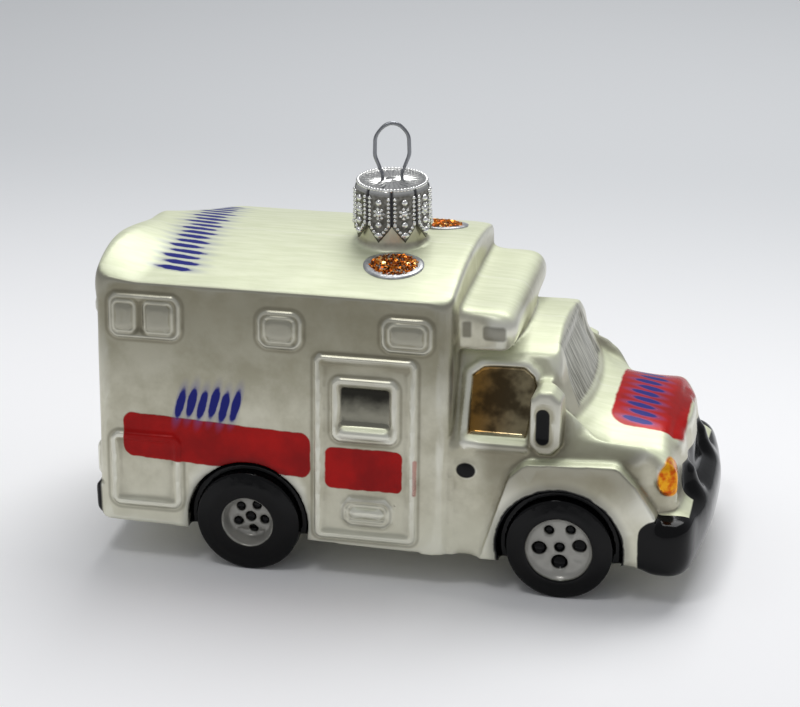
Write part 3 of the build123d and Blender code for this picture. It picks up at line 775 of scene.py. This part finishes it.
# %% [markdown]
# Each coat now gets its colour, metalness and roughness, and the coats are laid over each
# other in the order of the real work. Thin enamel over silvering still shines like metal
# underneath, so the red keeps a little of the silver's metalness.

# %% Mix the silver pearl ground
cloud = lacquer.noise(spot, 9.0, 4.0, 0.6)
grain = lacquer.noise(spot, 0.5, 2.0, 0.7)
streaks = lacquer.noise(spot, 1.0, 3.0, 0.6, (9.0, 1.1, 3.0))
faces_up = ramp(upness, 0.35, 0.9)
# Painted light from above: upward faces get a lighter, creamier tone, with faint real smudges in
# it.
streaked_top_light = mix(ramp(streaks, 0.35, 0.65), srgb(214, 219, 188), srgb(223, 227, 199))
shade_under_eave = both(ramp(z, 28.0, 50.0, 0.0, 0.7), beyond(across, 19.0, 1.0))
# Painted shade: a darker band across the side of the cab.
cab_painted_shade = both(
    ramp(z, 16.0, 24.0), ramp(z, 34.0, 28.0), ramp(x, 13.0, 18.0), ramp(x, 46.0, 42.0, 0.0, 0.7),
    beyond(across, 16.0, 1.0),
)
# Painted highlight: a thin lighter line along the mould seam on the middle line, above the waist.
seam_path = calc("ABSOLUTE", calc("MULTIPLY_ADD", unsteady, 1.6, y))
seam_highlight = both(under(seam_path, 0.25, 0.2), beyond(z, 28.0), 0.3)
# The rows below paint light and shade into the pearl ground.
painted_light_on_pearl = (
    # where, tone
    # Painted shade: darker in the hollows.
    (ramp(hollow_here, 0.02, 0.2, 0.0, 0.5), srgb(112, 104, 86)),
    # Painted highlight: lighter on the ridges.
    (ramp(hollow_here, -0.02, -0.13, 0.0, 0.85), srgb(238, 237, 224)),
    (shade_under_eave, srgb(122, 117, 96)),
    # Painted shade on the side of the cab.
    (cab_painted_shade, srgb(118, 112, 91)),
    # Painted reflection of the pale floor: lighter towards the bottom.
    (ramp(z, 19.0, 9.0, 0.0, 0.6), srgb(222, 221, 202)),
    # Painted light on upward faces.
    (faces_up, streaked_top_light),
    # Painted highlight along the mould seam.
    (seam_highlight, srgb(238, 238, 226)),
)
pearl = mix(ramp(cloud, 0.3, 0.7), srgb(180, 176, 155), srgb(214, 211, 192))
for where, tone in painted_light_on_pearl:
    pearl = mix(where, pearl, tone)
pearl_metal = blend(faces_up, 0.72, 0.3)
pearl_rough = blend(faces_up, ramp(cloud, 0.2, 0.8, 0.27, 0.36), 0.46)
print("pearl ground mixed")

# %% [markdown]
# The relaxing took the crispness off the small frames on the walls, so each is drawn
# again as a fine ridge in the bump, with a painted highlight on it and painted shade beside it.

# %% Sharpen the ridges of the windows and doors
wall_frames = (
    # middle along, middle up, width, height, corner
    (box_back_x + 9.6, 47.4, 12.8, 7.6, 1.6),
    (box_back_x + 5.8, 47.4, 3.9, 5.6, 1.0),
    (box_back_x + 12.2, 47.4, 5.2, 5.6, 1.0),
    (box_back_x + 34.6, 46.8, 7.6, 6.4, 1.8),
    (box_back_x + 34.6, 46.9, 5.4, 4.6, 1.2),
    (box_front_x - 8.2, 47.4, 8.6, 5.8, 1.6),
    (box_front_x - 8.1, 47.5, 6.6, 4.1, 1.2),
    (box_front_x - 15.7, 32.8, 11.6, 11.4, 1.4),
    (box_back_x + 9.4, 18.1, 12.8, 13.6, 1.6),
    (box_front_x - 15.2, 13.5, 7.2, 3.0, 1.2),
    (box_front_x - 15.6, 25.5, 18.0, 34.0, 1.0),
)
ridge_lines, ridge_shade = [], []
for along, up, width, height, corner in wall_frames:
    distance = side_box((along, up), (width / 2, height / 2), corner)
    ridge_lines.append(ramp(calc("ABSOLUTE", distance), 0.48, 0.0))
    beside = calc("ABSOLUTE", calc("SUBTRACT", distance, 0.8))
    ridge_shade.append(ramp(beside, 0.5, 0.0))
ridges = both(on_side, either(*ridge_lines))
shade_beside = both(on_side, either(*ridge_shade), 0.45)
bar_lens = both(beyond(across, 14.5), beyond(z, 45.0), either(
    lacquer.inside(side_box((box_front_x + 1.6, 47.6), (0.8, 1.5), 0.4), 0.3),
    lacquer.inside(side_box((box_front_x + 6.6, 47.2), (2.1, 1.4), 0.7), 0.3),
))
# Painted shade beside each frame's ridge, then a painted highlight on the ridge.
pearl = mix(shade_beside, pearl, srgb(104, 98, 80))
pearl = mix(both(ridges, 0.55), pearl, srgb(226, 224, 208))
pearl = mix(both(bar_lens, 0.7), pearl, srgb(84, 80, 66))
print("ridges sharpened:", len(wall_frames))

# %% Lay the coats over each other
red_tone = mix(ramp(cloud, 0.3, 0.7), srgb(146, 1, 1), srgb(186, 8, 3))
amber_tone = lacquer.mottled(spot, 1.3, srgb(214, 92, 4), srgb(250, 176, 32), 0.35)
# Painted reflection of a warm brown room in the cab pane, with darker clouds in it.
cab_reflection_reach = ramp(x, box_front_x + 3.0, box_front_x + 12.0)
cab_reflection_cloud = ramp(lacquer.noise(spot, 4.0, 3.0), 0.35, 0.65)
cab_pane_reflection = mix(cab_reflection_reach, srgb(140, 104, 50), srgb(150, 138, 108))
cab_pane_reflection = mix(both(cab_reflection_cloud, 0.85), cab_pane_reflection, srgb(52, 40, 22))
screen_tone = lacquer.mottled(
    spot, 0.5, srgb(138, 137, 124), srgb(206, 205, 192), 0.35,
    detail=3.0, roughness=0.6, stretch=(14, 1.0, 14),
)
# Painted reflection in the door pane: dark at the top, lighter below.
pane_height = calc("MULTIPLY_ADD", unsteady, 3.0, z)
door_pane_reflection = mix(ramp(pane_height, 36.0, 31.0), srgb(40, 39, 34), srgb(140, 138, 124))
thin_blue = both(blue_blur, invert(black))
coats = (
    # mask, colour, metalness, roughness
    (hub_silver, srgb(214, 212, 204), 0.6, 0.26),
    (windscreen, screen_tone, 0.55, 0.3),
    (door_pane, door_pane_reflection, 0.95, 0.14),
    (cab_pane, cab_pane_reflection, 0.9, 0.14),
    (lamp, amber_tone, 0.5, 0.26),
    (red, red_tone, 0.12, 0.24),
    (thin_blue, srgb(96, 100, 168), 0.3, 0.35),
    (blue, srgb(26, 32, 122), 0.15, 0.35),
    (overspray, srgb(20, 20, 20), 0.2, 0.3),
    (black, srgb(5, 5, 6), 0.0, 0.12),
)
colour, metal, rough = pearl, pearl_metal, pearl_rough
for mask, tone, metalness, roughness in coats:
    colour = mix(mask, colour, tone)
    metal = blend(mask, metal, metalness)
    rough = blend(mask, rough, roughness)

relief = calc("MULTIPLY", streaks, 0.02)
reliefs = (
    # pattern, height in millimetres
    (grain, 0.012), (lacquer.noise(spot, 2.6, 3.0), 0.06), (ridges, 0.22),
    (either(red, black, blue, lamp), 0.05),
)
for pattern, height in reliefs:
    relief = calc("MULTIPLY_ADD", pattern, height, relief)
lacquer.set(
    Base_Color=colour, Metallic=metal, Roughness=rough, Normal=lacquer.bump(relief, 0.6),
    Coat_Weight=0.08, Coat_Roughness=0.05, IOR=1.5, Specular_IOR_Level=0.16,
)
finish_piece(glass, lacquer)
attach(glass, "glass")
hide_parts("glass_body")
print("coats:", len(coats), "over the pearl; nodes:", len(lacquer.tree.nodes))

# %% [markdown]
# ## The crown cap
# The cap is stamped from thin tinplate: a flat top, a skirt of nine panels with creases
# between them, and a pointed tab under each panel. One function gives the skirt's surface
# for any angle and height, so the sheet and its embossed beads share it and always fit.

# %% Describe the cap's surface
panel_count = 9
first_crease = math.radians(1.0)
panel_angle = 2 * math.pi / panel_count
cap_top_z = 69.23 - neck_drop
cap_height = 9.8
notch_height = 3.0
cap_radius = 7.15
top_edge_radius = 5.9
top_roll = 1.1
crease_depth = 0.5
crease_width = 0.11
tab_flare = 0.45
flare_start = 5.0
skirt_inset = 0.25
sheet_thickness = 0.26


def panel_place(angle):
    """How far an angle lies from the middle of its panel: -1 and 1 are the creases."""
    turns = (angle - first_crease) / panel_angle
    return 2 * (turns - math.floor(turns)) - 1


def skirt_length(angle):
    """Height of the skirt at an angle: longest at the tip of each tab."""
    return cap_height - notch_height * abs(panel_place(angle))


def cap_point(angle, radius, z_place):
    """A point round the neck's axis, in metres."""
    return Vector((neck_x + radius * math.cos(angle), radius * math.sin(angle), z_place)) * MM


def skirt_point(angle, drop, proud=0.0):
    """A point on the skirt, a drop under the top and proud of the surface, in metres."""
    place = panel_place(angle)
    flat = 0.5 + 0.5 * math.cos(panel_angle / 2) / math.cos(place * panel_angle / 2)
    radius = cap_radius * flat
    radius -= crease_depth * math.exp(-((1 - abs(place)) / crease_width) ** 2)
    flare = max(0.0, (drop - flare_start) / (cap_height - flare_start)) ** 1.5
    radius += tab_flare * flare - skirt_inset
    if drop < top_roll:
        turn = math.acos(1 - drop / top_roll)
        radius -= (radius - top_edge_radius) * (1 - math.sin(turn))
    radius += proud
    return cap_point(angle, radius, cap_top_z - drop)


print("panels:", panel_count, "tab tip at z", round(cap_top_z - cap_height, 2))

# %% [markdown]
# The sheet is a grid of points over that surface, closed by a disc with stamped rays, and
# Solidify gives it the thickness of the tinplate. A crease attribute keeps where the folds
# and the low places between the rays are, so the paint can put painted shade there.

# %% Stamp the cap's sheet
skirt_columns = panel_count * 16
skirt_rows = 26
disc_rows = 14
ray_count = 27
ray_height = 0.1
ray_reach = 5.6
groove_depth, groove_radius, groove_width = 0.16, 1.3, 0.35
disc_shade = 0.42
fold_shade_width = 0.16

stamp = bmesh.new()
fold_shade_layer = stamp.verts.layers.float.new("crease")
angles = [first_crease + 2 * math.pi * i / skirt_columns for i in range(skirt_columns)]
rows = []
for row in range(1, disc_rows + 1):
    radius = top_edge_radius * row / disc_rows * 0.985
    ring = []
    for angle in angles:
        ray = 0.5 + 0.5 * math.cos(ray_count * angle)
        lift = ray_height * ray * math.sin(math.pi * min(1, radius / ray_reach)) ** 0.5
        lift -= groove_depth * math.exp(-((radius - groove_radius) / groove_width) ** 2)
        ring.append(stamp.verts.new(cap_point(angle, radius, cap_top_z - 0.05 + lift)))
        # Painted shade between the stamped rays, kept in the crease attribute.
        ring[-1][fold_shade_layer] = disc_shade - disc_shade * min(1.0, max(0.0, lift / ray_height))
    rows.append(ring)
for row in range(skirt_rows + 1):
    share = (row / skirt_rows) ** 1.15
    ring = []
    for angle in angles:
        vertex = stamp.verts.new(skirt_point(angle, share * skirt_length(angle)))
        fold = (1 - abs(panel_place(angle))) / fold_shade_width
        # Painted shade near each fold, kept in the crease attribute.
        vertex[fold_shade_layer] = math.exp(-fold ** 2)
        ring.append(vertex)
    rows.append(ring)
centre = stamp.verts.new(Vector((neck_x, 0, cap_top_z)) * MM)
join_rings(stamp, rows, centre)
top_faces = [f for f in stamp.faces if f.calc_center_median().z > (cap_top_z - 0.3) * MM]
if sum(f.normal.z for f in top_faces) < 0:
    bmesh.ops.reverse_faces(stamp, faces=stamp.faces)
cap_sheet = new_piece("cap_sheet", stamp)
sheet = cap_sheet.modifiers.new("sheet", "SOLIDIFY")
sheet.thickness = sheet_thickness * MM
sheet.offset = -1.0
apply_modifiers(cap_sheet)
print("cap sheet:", len(cap_sheet.data.polygons), "faces")

# %% [markdown]
# ## Beads
# Rows of beads edge each panel, and a ring of them runs round the top. They repeat along
# paths, which is what Geometry Nodes does best: one small tree turns any set of drawn
# lines into evenly spaced beads, with the spacing and the size as its inputs.

# %% Build the bead tree
def new_tree(name, **sizes):
    """A Geometry Nodes tree with a mesh input, named number inputs and a mesh output."""
    tree = bpy.data.node_groups.new(name, "GeometryNodeTree")
    tree.interface.new_socket("Geometry", in_out="INPUT", socket_type="NodeSocketGeometry")
    for label, value in sizes.items():
        kind = "NodeSocketInt" if isinstance(value, int) else "NodeSocketFloat"
        socket = tree.interface.new_socket(
            label.replace("_", " "), in_out="INPUT", socket_type=kind
        )
        socket.default_value = value
    tree.interface.new_socket("Material", in_out="INPUT", socket_type="NodeSocketMaterial")
    tree.interface.new_socket("Geometry", in_out="OUTPUT", socket_type="NodeSocketGeometry")
    return tree, tree.nodes.new("NodeGroupInput"), tree.nodes.new("NodeGroupOutput")


def add_node(tree, kind, **links):
    """Adds a node and links or sets its inputs, named with underscores for spaces."""
    node = tree.nodes.new(kind)
    for name, value in links.items():
        fill(tree, node.inputs[name.replace("_", " ")], value)
    return node


def finish_tree(tree, geometry, given, result):
    """Gives the geometry its material and hands it over as the tree's result."""
    material = given.outputs["Material"]
    finish = add_node(tree, "GeometryNodeSetMaterial", Geometry=geometry, Material=material)
    tree.links.new(finish.outputs[0], result.inputs[0])


def run_tree(piece, tree, **sizes):
    """Runs a tree over a piece with its inputs set, and keeps the plain mesh."""
    inputs = {
        item.name: item.identifier for item in tree.interface.items_tree
        if item.item_type == "SOCKET" and item.in_out == "INPUT"
    }
    modifier = piece.modifiers.new("grow", "NODES")
    modifier.node_group = tree
    for label, value in sizes.items():
        modifier[inputs[label.replace("_", " ")]] = value
    return apply_modifiers(piece)


bead_tree, given, result = new_tree("beads_along_lines", Spacing=0.7 * MM, Bead_Radius=0.3 * MM)
lines = add_node(bead_tree, "GeometryNodeMeshToCurve", Mesh=given.outputs["Geometry"])
stations = add_node(bead_tree, "GeometryNodeResampleCurve", Curve=lines.outputs[0])
if hasattr(stations, "mode"):
    stations.mode = "LENGTH"
bead_tree.links.new(given.outputs["Spacing"], stations.inputs["Length"])
bead_radius = given.outputs["Bead Radius"]
bead = add_node(bead_tree, "GeometryNodeMeshIcoSphere", Radius=bead_radius, Subdivisions=2)
placed = add_node(
    bead_tree, "GeometryNodeInstanceOnPoints",
    Points=stations.outputs[0], Instance=bead.outputs["Mesh"],
)
real = add_node(bead_tree, "GeometryNodeRealizeInstances", Geometry=placed.outputs[0])
smooth = add_node(bead_tree, "GeometryNodeSetShadeSmooth", Geometry=real.outputs[0])
finish_tree(bead_tree, smooth.outputs[0], given, result)
print("bead tree inputs: Spacing, Bead Radius, Material")

# %% [markdown]
# The sheet's paint is kept dark as a painted dark reflection, with a painted highlight
# near the top and painted shade in the folds, read from its crease attribute. The beads
# stand proudest and get a much lighter tin of their own, a painted highlight. A row is
# drawn first as a few points on each panel.

# %% Mix the tinplate and draw the bead rows
tin = Paint("stamped_tinplate")
tin_spot, _, _, tin_z = tin.place()
tin_fold_shade = tin.attribute("crease")
# The sheet's tone is kept dark: a painted dark reflection.
tin_painted_light_tone = tin.mottled(tin_spot, 0.8, srgb(84, 82, 75), srgb(128, 126, 119), detail=3.0)
# Painted highlight on the top of the cap.
tin_top_highlight = tin.ramp(tin_z, cap_top_z - 1.3, cap_top_z - 0.4)
tin_painted_light_tone = tin.mix(tin_top_highlight, tin_painted_light_tone, srgb(216, 216, 213))
# Painted shade in the folds and between the rays.
tin_painted_light_tone = tin.mix(tin.ramp(tin_fold_shade, 0.15, 0.9, 0.0, 0.92), tin_painted_light_tone, srgb(44, 44, 48))
tin.set(
    Base_Color=tin_painted_light_tone, Metallic=1.0,
    Roughness=tin.ramp(tin.noise(tin_spot, 0.5, 2.0), 0.3, 0.7, 0.14, 0.26),
    Normal=tin.bump(tin.math("MULTIPLY", tin.noise(tin_spot, 0.9, 2.0), 0.016), 0.4),
)
# The beads' tin is much lighter than the sheet's: a painted highlight.
bead_tin_highlight = Paint("bead_tin_painted_highlight")
bead_spot, *_ = bead_tin_highlight.place()
bead_tin_highlight.set(
    Base_Color=bead_tin_highlight.mottled(bead_spot, 0.5, srgb(232, 232, 230), srgb(252, 252, 250)),
    Metallic=1.0, Roughness=bead_tin_highlight.ramp(bead_tin_highlight.noise(bead_spot, 0.3), 0.3, 0.7, 0.08, 0.18),
)


def grow_beads(name, lines, spacing, radius):
    """Runs the bead tree over drawn lines, each a list of points."""
    points, joins = [], []
    for line in lines:
        joins += [(len(points) + i, len(points) + i + 1) for i in range(len(line) - 1)]
        points += line
    piece = new_piece(name, (points, joins, []))
    sizes = {"Spacing": spacing * MM, "Bead_Radius": radius * MM, "Material": bead_tin_highlight.material}
    return run_tree(piece, bead_tree, **sizes)


def on_panel(middle, place, drop, proud=0.0):
    """A point on one panel: place runs from -1 to 1 across it."""
    return skirt_point(middle + place * panel_angle / 2, drop, proud)


border_place, petal_place = 0.76, 0.38
bead_proud, stud_proud = 0.02, -0.05
border_top = 1.6
border_foot = 6.3
tip_length = cap_height - 0.95 - border_foot
rosette_drop = 4.4
stud_drops = (2.3, rosette_drop, 6.5, 8.4)
borders, rosettes, studs = [], [], []
for panel in range(panel_count):
    middle = first_crease + (panel + 0.5) * panel_angle
    drops = [border_top + (border_foot - border_top) * i / 6 for i in range(7)]
    tip_drops = [border_foot + 0.25 + tip_length * i / 4 for i in range(4)]
    for side in (-border_place, border_place):
        borders.append([on_panel(middle, side, drop, bead_proud) for drop in drops])
        borders.append([
            on_panel(middle, side * (1 - i / 4), drop, bead_proud)
            for i, drop in enumerate(tip_drops)
        ])
    petals = [math.radians(45 * i) for i in range(9)]
    rosettes.append([
        on_panel(middle, petal_place * math.cos(a), rosette_drop - math.sin(a), bead_proud)
        for a in petals
    ])
    for drop in stud_drops:
        studs.append([on_panel(middle, place, drop, stud_proud) for place in (0.0, 0.001)])
rope_steps = 120
rope_turns = [2 * math.pi * i / rope_steps for i in range(rope_steps + 1)]
rope = [skirt_point(angle, drop=0.08, proud=0.04) for angle in rope_turns]

bead_rows = (
    # name, lines, spacing, bead radius
    ("cap_border_beads", borders, 0.68, 0.36),
    ("cap_rosettes", rosettes, 0.8, 0.34),
    ("cap_studs", studs, 1.0, 0.66),
    ("cap_rope_ring", [rope], 0.62, 0.34),
)
beads = [grow_beads(*row) for row in bead_rows]
finish_piece(cap_sheet, tin)
for piece in (cap_sheet, *beads):
    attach(piece, "crown_cap")
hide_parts("cap")
print("beads:", {piece.name: len(piece.data.polygons) for piece in beads})

# %% [markdown]
# ## Glitter
# Two patches of copper glitter lie on silver discs on the roof, put on with glue. The
# flakes are little hexagons cut from foil. Geometry Nodes scatters them over a low dome,
# turns each one by its own random amount, and gives it a tint that the material reads.

# %% Build the glitter tree
flake_density = 9.0e6
flake_size = 0.34 * MM
flake_thickness = 0.05 * MM
flake_tilt = 0.75


def random_value(tree, seed, low, high):
    """A random number, or a random vector, for each flake."""
    node = tree.nodes.new("FunctionNodeRandomValue")
    is_vector = isinstance(low, tuple)
    if is_vector:
        node.data_type = "FLOAT_VECTOR"
    first = 0 if is_vector else 2
    node.inputs[first].default_value = low
    node.inputs[first + 1].default_value = high
    tree.links.new(seed, node.inputs["Seed"])
    return node.outputs[0 if is_vector else 1]


glitter_tree, given, result = new_tree(
    "scattered_flakes", Density=flake_density, Flake_Size=flake_size, Seed=7
)
scatter = add_node(
    glitter_tree, "GeometryNodeDistributePointsOnFaces",
    Mesh=given.outputs["Geometry"], Density=given.outputs["Density"], Seed=given.outputs["Seed"],
)
flake = add_node(
    glitter_tree, "GeometryNodeMeshCylinder", Vertices=6, Side_Segments=1, Fill_Segments=1,
    Radius=given.outputs["Flake Size"], Depth=flake_thickness,
)
seed = given.outputs["Seed"]
tilt = random_value(
    glitter_tree, seed, (-flake_tilt, -flake_tilt, 0.0), (flake_tilt, flake_tilt, 6.28)
)
flake_scale = random_value(glitter_tree, seed, 0.55, 1.1)
placed = add_node(
    glitter_tree, "GeometryNodeInstanceOnPoints", Points=scatter.outputs["Points"],
    Instance=flake.outputs["Mesh"], Rotation=tilt, Scale=flake_scale,
)
tint = random_value(glitter_tree, seed, 0.0, 1.0)
stored = glitter_tree.nodes.new("GeometryNodeStoreNamedAttribute")
stored.domain = "INSTANCE"
stored.inputs["Name"].default_value = "tint"
glitter_tree.links.new(placed.outputs[0], stored.inputs["Geometry"])
glitter_tree.links.new(tint, stored.inputs["Value"])
real = add_node(glitter_tree, "GeometryNodeRealizeInstances", Geometry=stored.outputs[0])
finish_tree(glitter_tree, real.outputs[0], given, result)
print("glitter tree inputs: Density, Flake Size, Seed, Material")

# %% Lay the discs and scatter the flakes
foil = Paint("copper_foil")
foil_tint = foil.attribute("tint")
foil_tones = (
    # tint from, tint to, tone
    (0.0, 0.35, srgb(168, 78, 18)),
    (0.45, 0.75, srgb(214, 124, 36)),
    (0.86, 0.98, srgb(255, 214, 140)),
)
foil_tone = srgb(84, 34, 8)
for start, end, tone in foil_tones:
    foil_tone = foil.mix(foil.ramp(foil_tint, start, end), foil_tone, tone)
foil.set(Base_Color=foil_tone, Metallic=0.9, Roughness=0.24)

silver_disc = Paint("silver_disc_paint")
disc_spot, *_ = silver_disc.place()
silver_disc.set(
    Base_Color=silver_disc.mottled(
        disc_spot, 1.2, srgb(166, 168, 170), srgb(206, 208, 210), detail=3.0
    ),
    Metallic=0.8, Roughness=0.34,
    Normal=silver_disc.bump(
        silver_disc.math("MULTIPLY", silver_disc.noise(disc_spot, 0.5), 0.08), 0.6
    ),
)


def roof_height(y_place):
    """Height of the crowned roof over a point across it, in millimetres."""
    return roof_z - roof_radius + math.sqrt(roof_radius ** 2 - y_place ** 2)


def dome(name, middle, half, rim, crown, sink):
    """A closed low dome on the roof: an ellipse with a rim and a crown height, sunk a little."""
    columns = 48
    mesh = bmesh.new()

    def point(reach, angle, lift):
        """A point of the dome, over the roof or under it."""
        along = middle[0] + half[0] * reach * math.cos(angle)
        over = middle[1] + half[1] * reach * math.sin(angle)
        return mesh.verts.new(Vector((along, over, roof_height(over) + lift)) * MM)

    slopes = ((0.35, 1.0), (0.7, 0.85), (0.9, 0.55), (1.0, 0.0))
    levels = [(reach, rim + (crown - rim) * share) for reach, share in slopes] + [(1.0, -sink)]
    angles = [2 * math.pi * i / columns for i in range(columns)]
    shell = [[point(reach, angle, lift) for angle in angles] for reach, lift in levels]
    top, base = point(0.0, 0.0, crown), point(0.0, 0.0, -sink)
    join_rings(mesh, shell, top, base)
    return new_piece(name, mesh)


patches = (
    # side, distance behind the front of the box, y, seed
    ("right", 12.9, -11.2, 7),
    ("left", 9.3, 12.0, 19),
)
for side, from_front, patch_y, seed in patches:
    middle = (box_front_x - from_front, patch_y)
    disc = dome("silver_disc_" + side, middle, half=(5.5, 4.6), rim=0.16, crown=0.3, sink=0.35)
    finish_piece(disc, silver_disc)
    flakes = dome("glitter_" + side, middle, half=(4.3, 3.6), rim=0.24, crown=0.42, sink=0.1)
    run_tree(
        flakes, glitter_tree, Density=flake_density, Flake_Size=flake_size, Seed=seed,
        Material=foil.material,
    )
    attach(disc, "glass")
    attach(flakes, "glass")
    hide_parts("roof_glitter_" + side)
    print(side, "patch:", len(flakes.data.polygons), "flake faces")

# %% [markdown]
# ## Spring wire
# The wire is a copy of the CAD one, with its loop drawn in a little at each height to the
# egg shape that a hand-bent wire takes. Drawn steel has fine lines along it and a satin
# finish, so its roughness and bump come from a noise stretched up the wire.

# %% Finish the wire, and give the hidden CAD nodes their finishes
steel = Paint("drawn_steel_wire")
steel_spot, *_ = steel.place()
drawn = steel.noise(steel_spot, 0.12, 2.0, 0.6, (1, 1, 12))
steel.set(
    Base_Color=steel.mix(drawn, srgb(112, 114, 118), srgb(168, 170, 174)), Metallic=1.0,
    Roughness=steel.ramp(drawn, 0.3, 0.7, 0.24, 0.4),
    Normal=steel.bump(steel.math("MULTIPLY", drawn, 0.03), 0.4),
)
wire_shape = merged_copy("hanger_wire")
bmesh.ops.recalc_face_normals(wire_shape, faces=wire_shape.faces)
wire = new_piece("egg_loop_wire", wire_shape)
loop_heights = (-3, 0, 1.9, 3.9, 5.8, 7.75, 9.2, 11)
loop_widths = (1, 0.8, 0.9, 0.97, 0.98, 0.92, 0.82, 0.8)
points = read_vectors(wire, "co").astype(float)
over_cap = points[:, 2] / MM - (cap_top_z + neck_drop)
narrower = np.interp(over_cap, loop_heights, loop_widths)
points[:, 0] = neck_x * MM + (points[:, 0] - neck_x * MM) * narrower
move_points(wire, points)
finish_piece(wire, steel)
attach(wire, "hanger")
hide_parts("hanger_wire")
node_finishes = (
    ("hanger_wire", steel), ("cap", tin), ("glass_body", lacquer),
    ("roof_glitter_right", foil), ("roof_glitter_left", foil),
)
for node, paint in node_finishes:
    coat_with(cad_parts[node].data, paint)
print("finished nodes:", [node for node, _ in node_finishes])

# %% [markdown]
# ## Floor and light
# The ornament stands on a plain pale sheet that is white near it; far behind, a painted
# shade turns it grey where less light reaches. A broad lamp above and behind gives the soft
# bright roof and the shadow, a small one above the right side adds a highlight, and the
# pale world fills the sides as the walls of a light tent do.

# %% Lay the floor
floor_reach = 3.0
far_shade_start = 20.0
far_shade_end = 230.0
corners = ((-1, -1), (1, -1), (1, 1), (-1, 1))
floor_corners = [(floor_reach * side, floor_reach * end, 0) for side, end in corners]
floor = new_piece("floor", (floor_corners, [], [(0, 1, 2, 3)]))
ground = Paint("pale_sheet")
_, _, floor_y, _ = ground.place()
# Painted shade: the sheet turns grey far behind, where less light reaches.
far_painted_shade = ground.ramp(floor_y, far_shade_start, far_shade_end)
ground.set(Base_Color=ground.mix(far_painted_shade, srgb(248, 248, 249), srgb(204, 206, 208)), Roughness=0.7)
floor.data.materials.append(ground.material)
print("floor laid")

# %% Set the lamps and the world
world = bpy.data.worlds.new("light_tent")
scene.world = world
world.use_nodes = True
tent = world.node_tree.nodes["Background"]
tent.inputs["Color"].default_value = srgb(224, 226, 230)
tent.inputs["Strength"].default_value = 0.48


def area_lamp(name, place, aim, size, energy):
    """A square lamp at a place, turned to shine at a point, both in metres."""
    data = bpy.data.lights.new(name, "AREA")
    data.size = size
    data.energy = energy
    lamp_object = bpy.data.objects.new(name, data)
    lamp_object.location = place
    lamp_object.rotation_euler = (Vector(aim) - Vector(place)).to_track_quat("-Z", "Y").to_euler()
    scene.collection.objects.link(lamp_object)
    return lamp_object


area_lamp("window", (0.06, 0.24, 0.5), (0, 0, 0.03), 0.38, 2.1)
area_lamp("ceiling_lamp", (-0.1, -0.2, 0.55), (0, 0, 0.03), 0.12, 0.38)
scene.view_settings.view_transform = "Standard"
